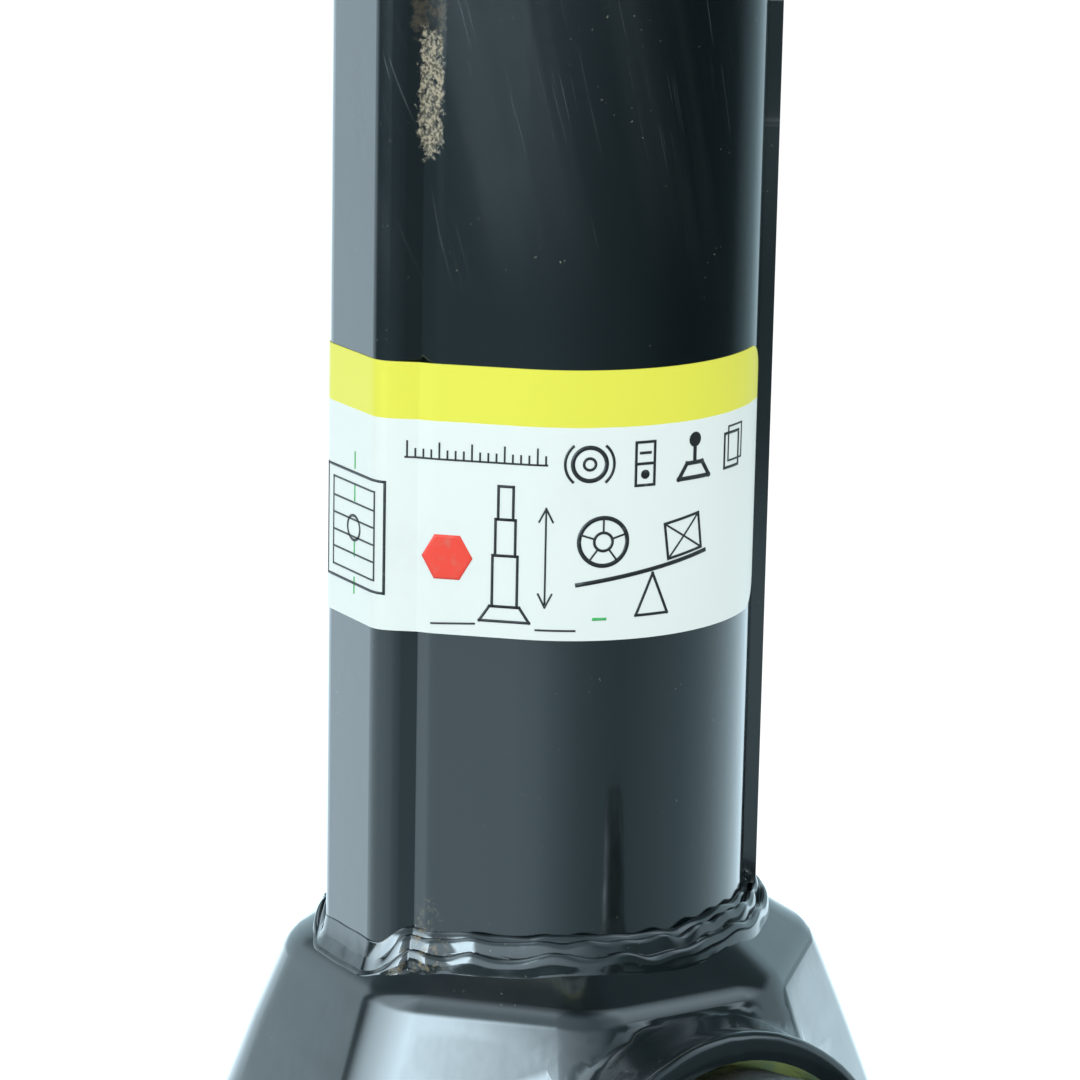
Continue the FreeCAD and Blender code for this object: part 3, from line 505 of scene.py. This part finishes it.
# a row of plain symbols under the band
black_marks += [hoop(31.4, 125.2, 2.0, bold), hoop(31.4, 125.2, 0.7, plain)]
black_marks += [hoop(31.4, 125.2, 2.9, plain, -50, 50), hoop(31.4, 125.2, 2.9, plain, 130, 230)]
black_marks += box_of_ink(37.0, 122.4, 2.4, 2.6, plain) + box_of_ink(37.0, 125.0, 2.4, 2.6, plain)
black_marks += [blot(38.2, 123.7, 0.55), stroke(37.6, 126.3, 38.8, 126.3, plain)]
black_marks += loop([(42.8, 122.6), (47.6, 122.6), (46.4, 124.4), (44.0, 124.4)], bold)
black_marks += [stroke(45.2, 124.4, 45.2, 127.0, bold), blot(45.2, 127.2, 0.9)]
black_marks += box_of_ink(50.6, 122.8, 3.2, 4.2, plain) + box_of_ink(51.4, 123.6, 3.2, 4.2, fine)


def ink(name, full, worn_thin, roughness, speckle, low, high):
    """Printing ink whose full colour turns to a worn one where a fine noise is high."""
    finish = Finish(name, full, roughness)
    thin = finish.between(finish.noise(speckle, 3.0), low, high)
    finish.colour(finish.mix(thin, full, worn_thin))
    return finish


ink_black = ink("ink_black", (0.010, 0.012, 0.014, 1.0), (0.08, 0.085, 0.085, 1.0), 0.4, 900.0, 0.6, 0.8)
build_piece("label_marks_black", black_marks, ink_black, "housing")

red_marks = [blot(14.6, 113.2, 3.1, 6, 30.0)]
ink_red = ink("ink_red", (0.82, 0.055, 0.03, 1.0), (0.7, 0.12, 0.08, 1.0), 0.38, 700.0, 0.5, 0.8)
build_piece("label_marks_red", red_marks, ink_red, "housing")

green_marks = []
for low_z in (107.0, 111.6, 118.4, 122.4):
    green_marks.append(stroke(1.0, low_z, 1.0, low_z + 1.9, fine))
green_marks.append(stroke(32.2, 106.4, 33.6, 106.4, plain))
ink_green = ink("ink_green", (0.03, 0.45, 0.1, 1.0), (0.12, 0.5, 0.2, 1.0), 0.4, 700.0, 0.5, 0.8)
build_piece("label_marks_green", green_marks, ink_green, "housing")


# Neck weld: a hand-laid fillet weld that joins the tube to the housing's roof, painted over.
# Three uneven runs lie side by side under a nearly level top edge. At the key face, where the roof
# under the weld is lowest, they smooth out into one taller fillet.
weld_top = 0.0657
weld_reach = 0.0034
roof_edge = (0.030137, 0.060459)
roof_lean = 0.68
ridge_radius = 0.011
half_round = 0.07872
key_side = 0.0105
key_fade = 0.004
least_weld = 0.0009
key_drop = 0.0012
crown_waver = 0.0004
toe_sunk = 0.0004
hidden_out, hidden_in = 0.0018, -0.0008
hidden_under_roof, hidden_under_crown = 0.0015, 0.002


def roof_height(x, y):
    """Height of the housing's roof over a place: the roof's slope times the distance to the rounded
    eight-sided outline that runs through the place."""
    eighth = math.radians(22.5)
    angle = np.abs((np.arctan2(y, x) + eighth) % (2 * eighth) - eighth)
    r = np.hypot(x, y)
    px, py = r * np.cos(angle), r * np.sin(angle)
    t = math.tan(eighth)
    half = px + py * t
    inner = half ** 2 - (1 + t * t) * (r ** 2 - ridge_radius ** 2)
    round_apothem = (half - np.sqrt(np.clip(inner, 0, None))) / (1 + t * t) + ridge_radius
    flat_half = (px - ridge_radius) * t
    apothem = np.where(py <= flat_half, px, round_apothem)
    return roof_edge[1] + roof_lean * (roof_edge[0] - apothem)


def waves(s, seed, count, low, high):
    """A sum of sine waves round the tube with fixed random phases, whole numbers of waves so it closes."""
    rng = np.random.default_rng(seed)
    total = np.zeros_like(s)
    length = 2 * half_round
    for _ in range(count):
        n = rng.integers(low, high)
        total = total + rng.uniform(0.4, 1.0) * np.sin(2 * math.pi * n * s / length + rng.uniform(0, 6.28))
    return total / count


weld_s = np.linspace(-half_round, half_round, 1300, endpoint=False)[:, None]
weld_t = np.linspace(0, 1, 48)[None, :]
key_share = np.clip((key_side - np.abs(weld_s)) / key_fade, 0, 1)
key_share = key_share * key_share * (3 - 2 * key_share)
reach = weld_reach * (1 - 0.5 * key_share) * (1 + 0.16 * waves(weld_s, 8, 6, 4, 18))
weld_out = reach * weld_t
under_weld = on_tube(weld_s + 0 * weld_t, 0 * weld_out, weld_out)
roof_z = roof_height(under_weld[..., 0], under_weld[..., 1])
crown = np.maximum(weld_top, roof_z[:, :1] + least_weld) - key_drop * key_share
crown = crown + crown_waver * waves(weld_s, 3, 7, 4, 30)
fillet = (crown - roof_z[:, :1]) * (1 - weld_t) ** (1.6 + 1.6 * key_share)


def run(place, width, height, seed):
    """One run of weld: across the weld its height is half an ellipse round a middle line, and the
    line, the height and the width all waver along it."""
    middle = place + 0.05 * waves(weld_s, seed, 6, 4, 22)
    tall = height * (1 - 0.9 * key_share) * (1 + 0.45 * waves(weld_s, seed + 1, 7, 6, 34))
    wide = width * (1 + 0.25 * waves(weld_s, seed + 2, 5, 5, 20))
    return tall * np.sqrt(np.clip(1 - ((weld_t - middle) / wide) ** 2, 0, None))


runs = [run(0.10, 0.18, 0.0012, 21), run(0.44, 0.20, 0.0022, 31), run(0.78, 0.19, 0.0018, 41)]
# the runs flow together: a soft greatest value of the three heights
sharpness = 2.0e4
ridge = np.log(sum(np.exp(sharpness * one) for one in runs) / 3) / sharpness
toe_fade = np.clip((1 - weld_t) / 0.10, 0, 1)
weld_z = roof_z + fillet + ridge * toe_fade - toe_sunk * (1 - toe_fade)
outer_skin = on_tube(weld_s + 0 * weld_t, weld_z, weld_out)
# the hidden skin that closes the weld: under the roof, then up inside the tube's wall
inner_out = np.array([[hidden_out, hidden_in, hidden_in]]) + 0 * weld_s
under_roof = on_tube(weld_s + 0 * inner_out, 0 * inner_out, inner_out)
inner_z = roof_height(under_roof[..., 0], under_roof[..., 1]) - hidden_under_roof
inner_z[:, 2:] = crown - hidden_under_crown
inner_skin = on_tube(weld_s + 0 * inner_out, inner_z, inner_out)
weld_grid = np.concatenate([outer_skin, inner_skin], axis=1)
weld_paint = Finish("black_gloss_weld_paint", paint_black, 0.14)
weld_paint.coat(1.0, 0.04)
weld_along = weld_paint.along(shoulder_along, sharp_corner)
weld_front = weld_paint.window(weld_along, 0.0015, 0.0105, 0.0022)
weld_off = weld_paint.between(weld_paint.along(shoulder_out, sharp_corner), -0.0025, -0.0010)
rust_spots = weld_paint.between(weld_paint.noise(520.0, 5.0, 0.7), 0.50, 0.66)
rust = weld_paint.times(weld_front, weld_off, rust_spots)
weld_shade = add_dust(weld_paint, paint_black, 0.5)
weld_paint.colour(weld_paint.mix(rust, weld_shade, (0.16, 0.12, 0.06, 1.0)))
weld_paint.rough(weld_paint.maths("MULTIPLY_ADD", rust, 0.5, 0.13))
weld_paint.bump(weld_paint.noise(210.0, 2.0), 0.22, 0.0006)
weld_paint.put_on("neck_weld")
weld = build_piece("weld_runs", [(weld_grid, True, True)], weld_paint, "housing")
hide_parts("neck_weld")


# Foot rivets: steel rivets through the plate and the housing's flange, heads set by a press.
# Their zinc has dulled and holds a little dirt.
rivet_steel = Finish("rivet_steel", (0.42, 0.43, 0.43, 1.0), 0.4, 1.0)
rivet_dirt = rivet_steel.between(rivet_steel.noise(420.0, 5.0, 0.7), 0.45, 0.7)
rivet_steel.colour(rivet_steel.mix(rivet_dirt, (0.44, 0.45, 0.46, 1.0), (0.16, 0.14, 0.11, 1.0)))
rivet_steel.rough(rivet_steel.maths("MULTIPLY_ADD", rivet_dirt, 0.3, 0.32))
rivet_steel.bump(rivet_steel.noise(900.0, 3.0), 0.15, 0.0003)
rivet_steel.put_on("base_rivets")


# Drive shaft: forged steel, turned where it runs in the bush; its eye takes the hook of a crank.
# The forged skin is dark and slightly scaly, with grease in its hollows.
forged_steel = Finish("forged_steel", (0.30, 0.31, 0.31, 1.0), 0.42, 1.0)
scale_spots = forged_steel.between(forged_steel.noise(240.0, 6.0, 0.7), 0.42, 0.66)
grease = forged_steel.between(forged_steel.noise(45.0, 4.0, 0.6), 0.5, 0.72)
forged_base = forged_steel.mix(scale_spots, (0.33, 0.34, 0.335, 1.0), (0.15, 0.15, 0.145, 1.0))
grease_film = forged_steel.times(grease, 0.5)
forged_steel.colour(forged_steel.mix(grease_film, forged_base, (0.075, 0.07, 0.05, 1.0)))
forged_steel.rough(forged_steel.maths("MULTIPLY_ADD", scale_spots, 0.2, 0.33))
forged_steel.bump(forged_steel.noise(360.0, 5.0, 0.65), 0.22, 0.0006)
forged_steel.put_on("drive_shaft")


# Drive bush: turned steel sleeve with a yellow zinc plating, pressed into the boss.
# The drive shaft runs in it; the plating has clouded from yellow to a dull green.
bush_zinc = Finish("bush_yellow_zinc", (0.55, 0.56, 0.22, 1.0), 0.34, 1.0)
zinc_cloud = bush_zinc.between(bush_zinc.noise(160.0, 3.0), 0.35, 0.7)
bush_zinc.colour(bush_zinc.mix(zinc_cloud, (0.62, 0.60, 0.20, 1.0), (0.42, 0.50, 0.30, 1.0)))
bush_zinc.rough(bush_zinc.between(bush_zinc.noise(90.0, 3.0), 0.3, 0.7, 0.26, 0.42))
bush_zinc.bump(bush_zinc.noise(700.0, 2.0), 0.08, 0.0003)
bush_zinc.put_on("drive_bush")


# Plain steel pieces inside: pins, washers, stop rings and the carrier, turned or cut from bar.
# They are left bare, with the fine level lines that the lathe leaves.
bare_steel = Finish("bare_steel", (0.5, 0.5, 0.49, 1.0), 0.32, 1.0)
bare_height = bare_steel.parts()[2]
turn_way = bare_steel.join(0.0, 0.0, bare_steel.times(bare_height, 90.0))
turn_lines = bare_steel.noise(60.0, 2.0, 0.5, turn_way)
bare_tone = bare_steel.between(bare_steel.noise(140.0, 4.0), 0.35, 0.7)
bare_steel.colour(bare_steel.mix(bare_tone, (0.52, 0.52, 0.51, 1.0), (0.36, 0.35, 0.33, 1.0)))
bare_steel.rough(bare_steel.between(turn_lines, 0.3, 0.7, 0.24, 0.40))
bare_steel.bump(turn_lines, 0.1, 0.0002)
bare_steel.put_on("drive_washer", "pinion_pin", "crown_pin", "spindle_stop", "stop_pin", "carrier_ring",
                  "carrier_pins", "screw_retainer", "screw_stop", "nut_pins", "saddle_pins")


# Bevel gears: a pinion on the drive shaft and a crown gear under the spindle, each held by a pin.
# They are forged and hardened steel, dark in places from the heat.
gear_steel = Finish("gear_steel", (0.32, 0.31, 0.30, 1.0), 0.38, 1.0)
gear_tone = gear_steel.between(gear_steel.noise(110.0, 5.0, 0.6), 0.4, 0.7)
gear_steel.colour(gear_steel.mix(gear_tone, (0.36, 0.35, 0.34, 1.0), (0.18, 0.165, 0.15, 1.0)))
gear_steel.rough(gear_steel.maths("MULTIPLY_ADD", gear_tone, 0.2, 0.28))
gear_steel.bump(gear_steel.noise(380.0, 4.0), 0.15, 0.0004)
gear_steel.put_on("bevel_pinion", "crown_gear")


# Screws: the spindle and the hollow screw that it turns in, of rolled steel.
# They run under amber grease, so they look wet and a little brown.
greased_steel = Finish("greased_steel", (0.38, 0.34, 0.27, 1.0), 0.22, 1.0)
greased_steel.coat(0.5, 0.1)
smear = greased_steel.between(greased_steel.noise(70.0, 4.0, 0.6), 0.4, 0.7)
greased_steel.colour(greased_steel.mix(smear, (0.44, 0.42, 0.38, 1.0), (0.30, 0.22, 0.11, 1.0)))
greased_steel.rough(greased_steel.maths("MULTIPLY_ADD", smear, 0.18, 0.16))
greased_steel.bump(greased_steel.noise(160.0, 3.0), 0.12, 0.0006)
greased_steel.put_on("spindle", "hollow_screw")


# Thrust bearing: ground and hardened races and balls, and a pressed brass cage between them.
# It carries the load under the spindle; its steel is the brightest in the jack.
bearing_steel = Finish("bearing_steel", (0.62, 0.62, 0.61, 1.0), 0.12, 1.0)
bearing_tone = bearing_steel.between(bearing_steel.noise(260.0, 3.0), 0.4, 0.7)
bearing_steel.colour(bearing_steel.mix(bearing_tone, (0.65, 0.65, 0.64, 1.0), (0.52, 0.51, 0.49, 1.0)))
bearing_steel.rough(bearing_steel.maths("MULTIPLY_ADD", bearing_tone, 0.1, 0.08))
bearing_steel.put_on("thrust_race_lower", "thrust_race_upper", "thrust_balls")

cage_brass = Finish("cage_brass", (0.68, 0.50, 0.22, 1.0), 0.3, 1.0)
brass_tone = cage_brass.between(cage_brass.noise(180.0, 4.0), 0.4, 0.7)
cage_brass.colour(cage_brass.mix(brass_tone, (0.72, 0.54, 0.24, 1.0), (0.50, 0.36, 0.16, 1.0)))
cage_brass.rough(cage_brass.maths("MULTIPLY_ADD", brass_tone, 0.15, 0.22))
cage_brass.put_on("ball_cage")


# Lift nut: grey cast iron, machined to fit the foot of the inner tube and held there by pins.
# Its surface is matte, with fine pores.
nut_iron = Finish("nut_iron", (0.22, 0.22, 0.22, 1.0), 0.5, 1.0)
pores = nut_iron.between(nut_iron.noise(1100.0, 3.0), 0.56, 0.7)
nut_iron.colour(nut_iron.mix(pores, (0.25, 0.25, 0.245, 1.0), (0.08, 0.08, 0.078, 1.0)))
nut_iron.rough(nut_iron.maths("MULTIPLY_ADD", pores, 0.25, 0.42))
nut_iron.bump(pores, 0.2, -0.0003)
nut_iron.put_on("lift_nut")


# Moving stages: two smaller tubes of the same section, thinly painted in satin black.
# Each has a yellow limit band near its foot that comes into view just before full lift.
limit_low, limit_high = 0.0803, 0.0843
limit_yellow = (0.74, 0.58, 0.03, 1.0)
satin_black = (0.012, 0.015, 0.017, 1.0)
stage_paint = Finish("satin_black_stage_paint", satin_black, 0.3)
stage_paint.coat(0.4, 0.15)
stage_x, stage_y, stage_z = stage_paint.parts()
round_turn = stage_paint.maths("ARCTAN2", stage_y, stage_x)
rub_way = stage_paint.join(stage_paint.times(round_turn, 14.0), stage_paint.times(stage_z, 9.0), 0.0)
rubbed = stage_paint.between(stage_paint.noise(3.0, 5.0, 0.65, rub_way), 0.56, 0.72)
fine_way = stage_paint.join(stage_paint.times(round_turn, 120.0), stage_paint.times(stage_z, 14.0), 2.0)
fine_rub = stage_paint.between(stage_paint.noise(1.6, 4.0, 0.6, fine_way), 0.55, 0.7)
rub = stage_paint.times(rubbed, fine_rub)
band_line = stage_paint.maths("MULTIPLY_ADD", stage_paint.noise(240.0, 3.0), 0.0005, stage_z)
in_limit = stage_paint.window(band_line, limit_low, limit_high, 0.00012)
unflaked = stage_paint.between(stage_paint.noise(420.0, 5.0, 0.7), 0.36, 0.42)
limit_shade = stage_paint.mix(stage_paint.times(in_limit, unflaked), satin_black, limit_yellow)
rubbed_grey = (0.2, 0.2, 0.19, 1.0)
stage_paint.colour(stage_paint.mix(stage_paint.times(rub, 0.5), limit_shade, rubbed_grey))
stage_paint.rough(stage_paint.maths("MULTIPLY_ADD", rub, 0.15, 0.27))
stage_paint.bump(stage_paint.noise(420.0, 3.0), 0.06, 0.0004)
stage_paint.put_on("middle_tube", "inner_tube")


# Saddle: cast iron cap with a grooved top, pinned to the head of the inner tube.
# It is dipped in satin black paint, which has worn off the tops of the posts between the grooves.
cap_black = (0.016, 0.018, 0.02, 1.0)
saddle_iron = Finish("saddle_iron", cap_black, 0.34)
saddle_iron.coat(0.5, 0.14)
saddle_z = saddle_iron.parts()[2]
post_from, post_top = 0.2046, 0.2052
near_top = saddle_iron.between(saddle_z, post_from, post_top)
top_chips = saddle_iron.between(saddle_iron.noise(210.0, 5.0, 0.7), 0.40, 0.58)
post_wear = saddle_iron.times(near_top, top_chips)
cap_shade = add_dust(saddle_iron, cap_black, 0.5)
saddle_iron.colour(saddle_iron.mix(post_wear, cap_shade, (0.26, 0.24, 0.22, 1.0)))
saddle_iron.rough(saddle_iron.maths("MULTIPLY_ADD", post_wear, 0.25, 0.34))
saddle_iron.bump(saddle_iron.noise(520.0, 5.0, 0.7), 0.3, 0.0007)
saddle_iron.put_on("saddle")


# Camera: at the photograph's angle, close to the tube's lower half and the housing's shoulder.
# It looks slightly down and is rolled a little.
camera_turn = math.radians(-31.2)
camera_tilt = math.radians(14.02)
camera_roll = math.radians(1.13)
camera_distance = 0.55003
right = Vector((math.cos(camera_turn), math.sin(camera_turn), 0.0))
level_look = Vector((-math.sin(camera_turn), math.cos(camera_turn), 0.0))
look = level_look * math.cos(camera_tilt) - Vector((0.0, 0.0, math.sin(camera_tilt)))
up = right.cross(look)
aim = Vector((0.0, 0.0, 0.110)) - right * 0.00224
camera_data = bpy.data.cameras.new("camera")
camera_data.lens = 148.97
camera_data.sensor_width = 36.0
camera_data.clip_end = 20.0
camera = bpy.data.objects.new("camera", camera_data)
camera_x = right * math.cos(camera_roll) + up * math.sin(camera_roll)
camera_y = up * math.cos(camera_roll) - right * math.sin(camera_roll)
turn = Matrix((camera_x, camera_y, -look)).transposed().to_4x4()
camera.matrix_world = Matrix.Translation(aim - look * camera_distance) @ turn
bpy.context.scene.collection.objects.link(camera)
bpy.context.scene.camera = camera


# Studio: pale floor and backdrop, one soft light level. Glossy surfaces see the room round the
# object: floor near and far, walls with one bright panel in front on the left, and a dim ceiling.
# A row of levels goes with the row of turns over it, in degrees from the camera's side, right positive.
room_turns = (-180, -117, -90, -60, -22, -10, 0, 13, 25, 37, 50, 63, 77, 93, 112, 138, 180)
room_levels = (1.8, 1.8, 1.4, 1.15, 1.12, 1.0, 0.76, 0.53, 0.42, 0.38, 0.43, 0.5, 0.55, 0.7, 0.95, 1.3, 1.8)
far_shares = (0.7, 0.92, 0.14, 0.22, 0.26, 0.28, 0.33, 0.38, 0.38, 0.36, 0.22, 0.10, 0.06, 0.05, 0.06,
              0.3, 0.7)
far_levels = [level * share for level, share in zip(room_levels, far_shares)]
wall_turns = (-180, -140, -117, -113, -110, -103, -95, -85, -64, -45, -29,
              -27.4, -15, 0, 29, 45, 70, 85, 110, 140, 180)
wall_levels = (0.7, 1.0, 1.3, 1.2, 0.15, 0.15, 2.0, 4.0, 6.5, 9.0, 11.5,
               2.2, 2.0, 1.5, 0.8, 0.3, 0.2, 1.0, 0.8, 0.7, 0.7)
high_turns = (-180, -126, -104, -96, -60, -30, 0, 30, 60, 80, 96, 110, 140, 180)
high_levels = (0.4, 0.2, 0.25, 2.0, 2.8, 1.0, 0.8, 0.6, 1.0, 2.0, 1.2, 0.15, 0.15, 0.4)
room_full = 12.0
facing = (-level_look.x, -level_look.y, 0.0)


def room_level(tree, direction, turns, levels):
    """Brightness of the room in a direction, read from the levels at its angle from the camera's side."""
    def dot(axis):
        """How far the direction reaches along a level axis."""
        n = tree.nodes.new("ShaderNodeVectorMath")
        n.operation = "DOT_PRODUCT"
        tree.links.new(direction, n.inputs[0])
        n.inputs[1].default_value = axis
        return n.outputs["Value"]

    angle = tree.nodes.new("ShaderNodeMath")
    angle.operation = "ARCTAN2"
    tree.links.new(dot((right.x, right.y, 0.0)), angle.inputs[0])
    tree.links.new(dot(facing), angle.inputs[1])
    share = tree.nodes.new("ShaderNodeMapRange")
    tree.links.new(angle.outputs[0], share.inputs["Value"])
    share.inputs["From Min"].default_value = -math.pi
    share.inputs["From Max"].default_value = math.pi
    table = tree.nodes.new("ShaderNodeValToRGB")
    tree.links.new(share.outputs[0], table.inputs["Fac"])
    elements = table.color_ramp.elements
    while len(elements) > 1:
        elements.remove(elements[-1])
    for i, (turn_deg, level) in enumerate(zip(turns, levels)):
        place = (turn_deg + 180) / 360
        element = elements[0] if i == 0 else elements.new(place)
        element.position = place
        value = level / room_full
        warm = 0.63 + 0.16 * min(1.0, level / 1.5)
        element.color = (value * warm, value, value * 1.12, 1.0)
    return table.outputs["Color"]


world = bpy.data.worlds.new("studio")
bpy.context.scene.world = world
world.use_nodes = True
sky = world.node_tree
sky.nodes.clear()
sky_out = sky.nodes.new("ShaderNodeOutputWorld")
sky_way = sky.nodes.new("ShaderNodeTexCoord").outputs["Generated"]
ray = sky.nodes.new("ShaderNodeLightPath")
plain_sky = sky.nodes.new("ShaderNodeBackground")
plain_sky.inputs["Color"].default_value = (1.0, 1.0, 1.0, 1.0)
plain_sky.inputs["Strength"].default_value = 0.92
white_sky = sky.nodes.new("ShaderNodeBackground")
white_sky.inputs["Strength"].default_value = 1.0
white_sky.inputs["Color"].default_value = (1.0, 1.0, 1.0, 1.0)
room_sky = sky.nodes.new("ShaderNodeBackground")
room_sky.inputs["Strength"].default_value = room_full
sky_parts = sky.nodes.new("ShaderNodeSeparateXYZ")
sky.links.new(sky_way, sky_parts.inputs[0])
room_colour = room_level(sky, sky_way, wall_turns, wall_levels)
overhead = room_level(sky, sky_way, high_turns, high_levels)
for low, high, next_colour in ((0.40, 0.60, overhead), (0.88, 1.02, None)):
    rise = sky.nodes.new("ShaderNodeMapRange")
    rise.interpolation_type = "SMOOTHSTEP"
    sky.links.new(sky_parts.outputs["Z"], rise.inputs["Value"])
    rise.inputs["From Min"].default_value = low
    rise.inputs["From Max"].default_value = high
    layers = sky.nodes.new("ShaderNodeMix")
    layers.data_type = "RGBA"
    sky.links.new(rise.outputs[0], layers.inputs[0])
    sky.links.new(room_colour, layers.inputs[6])
    layers.inputs[7].default_value = (0.004, 0.005, 0.006, 1.0)
    if next_colour:
        sky.links.new(next_colour, layers.inputs[7])
    room_colour = layers.outputs[2]
sky.links.new(room_colour, room_sky.inputs["Color"])
first_mix = sky.nodes.new("ShaderNodeMixShader")
sky.links.new(ray.outputs["Is Glossy Ray"], first_mix.inputs[0])
sky.links.new(plain_sky.outputs[0], first_mix.inputs[1])
sky.links.new(room_sky.outputs[0], first_mix.inputs[2])
second_mix = sky.nodes.new("ShaderNodeMixShader")
sky.links.new(ray.outputs["Is Camera Ray"], second_mix.inputs[0])
sky.links.new(first_mix.outputs[0], second_mix.inputs[1])
sky.links.new(white_sky.outputs[0], second_mix.inputs[2])
sky.links.new(second_mix.outputs[0], sky_out.inputs[0])

floor_mesh = bpy.data.meshes.new("floor")
floor_half = 3.0
near_floor, far_floor = 0.40, 0.57
floor_corners = [(x * floor_half, y * floor_half, 0) for x, y in ((-1, -1), (1, -1), (1, 1), (-1, 1))]
floor_mesh.from_pydata(floor_corners, [], [(0, 1, 2, 3)])
floor = bpy.data.objects.new("floor", floor_mesh)
bpy.context.scene.collection.objects.link(floor)
floor_material = bpy.data.materials.new("pale_floor")
floor_material.use_nodes = True
ground = floor_material.node_tree
ground.nodes.clear()
floor_mesh.materials.append(floor_material)
ground_out = ground.nodes.new("ShaderNodeOutputMaterial")
ground_way = ground.nodes.new("ShaderNodeTexCoord").outputs["Object"]
ground_ray = ground.nodes.new("ShaderNodeLightPath")
matte = ground.nodes.new("ShaderNodeBsdfDiffuse")
matte.inputs["Color"].default_value = (0.9, 0.9, 0.9, 1.0)
glow = ground.nodes.new("ShaderNodeEmission")
glow.inputs["Strength"].default_value = 0.16
lit = ground.nodes.new("ShaderNodeAddShader")
ground.links.new(matte.outputs[0], lit.inputs[0])
ground.links.new(glow.outputs[0], lit.inputs[1])
length = ground.nodes.new("ShaderNodeVectorMath")
length.operation = "LENGTH"
ground.links.new(ground_way, length.inputs[0])
fade = ground.nodes.new("ShaderNodeMapRange")
fade.interpolation_type = "SMOOTHSTEP"
ground.links.new(length.outputs["Value"], fade.inputs["Value"])
fade.inputs["From Min"].default_value = near_floor
fade.inputs["From Max"].default_value = far_floor
near_to_far = ground.nodes.new("ShaderNodeMix")
near_to_far.data_type = "RGBA"
ground.links.new(fade.outputs[0], near_to_far.inputs[0])
ground.links.new(room_level(ground, ground_way, room_turns, room_levels), near_to_far.inputs[6])
ground.links.new(room_level(ground, ground_way, room_turns, far_levels), near_to_far.inputs[7])
room_floor = ground.nodes.new("ShaderNodeEmission")
room_floor.inputs["Strength"].default_value = room_full
ground.links.new(near_to_far.outputs[2], room_floor.inputs["Color"])
glossy_mix = ground.nodes.new("ShaderNodeMixShader")
ground.links.new(ground_ray.outputs["Is Glossy Ray"], glossy_mix.inputs[0])
ground.links.new(matte.outputs[0], glossy_mix.inputs[1])
ground.links.new(room_floor.outputs[0], glossy_mix.inputs[2])
camera_mix = ground.nodes.new("ShaderNodeMixShader")
ground.links.new(ground_ray.outputs["Is Camera Ray"], camera_mix.inputs[0])
ground.links.new(glossy_mix.outputs[0], camera_mix.inputs[1])
ground.links.new(lit.outputs[0], camera_mix.inputs[2])
ground.links.new(camera_mix.outputs[0], ground_out.inputs[0])


def soft_light(name, place, target, size, power):
    """A square lamp that points at a place."""
    data = bpy.data.lights.new(name, "AREA")
    data.size = size
    data.energy = power
    lamp = bpy.data.objects.new(name, data)
    lamp.visible_camera = False
    way = (Vector(target) - Vector(place)).to_track_quat("-Z", "Y").to_matrix().to_4x4()
    lamp.matrix_world = Matrix.Translation(place) @ way
    bpy.context.scene.collection.objects.link(lamp)
    return lamp


top_light = soft_light("top_light", (-0.5, -0.6, 1.3), (0.0, 0.0, 0.1), 0.7, 6.0)
top_light.visible_glossy = False

bpy.context.scene.view_settings.view_transform = "Standard"
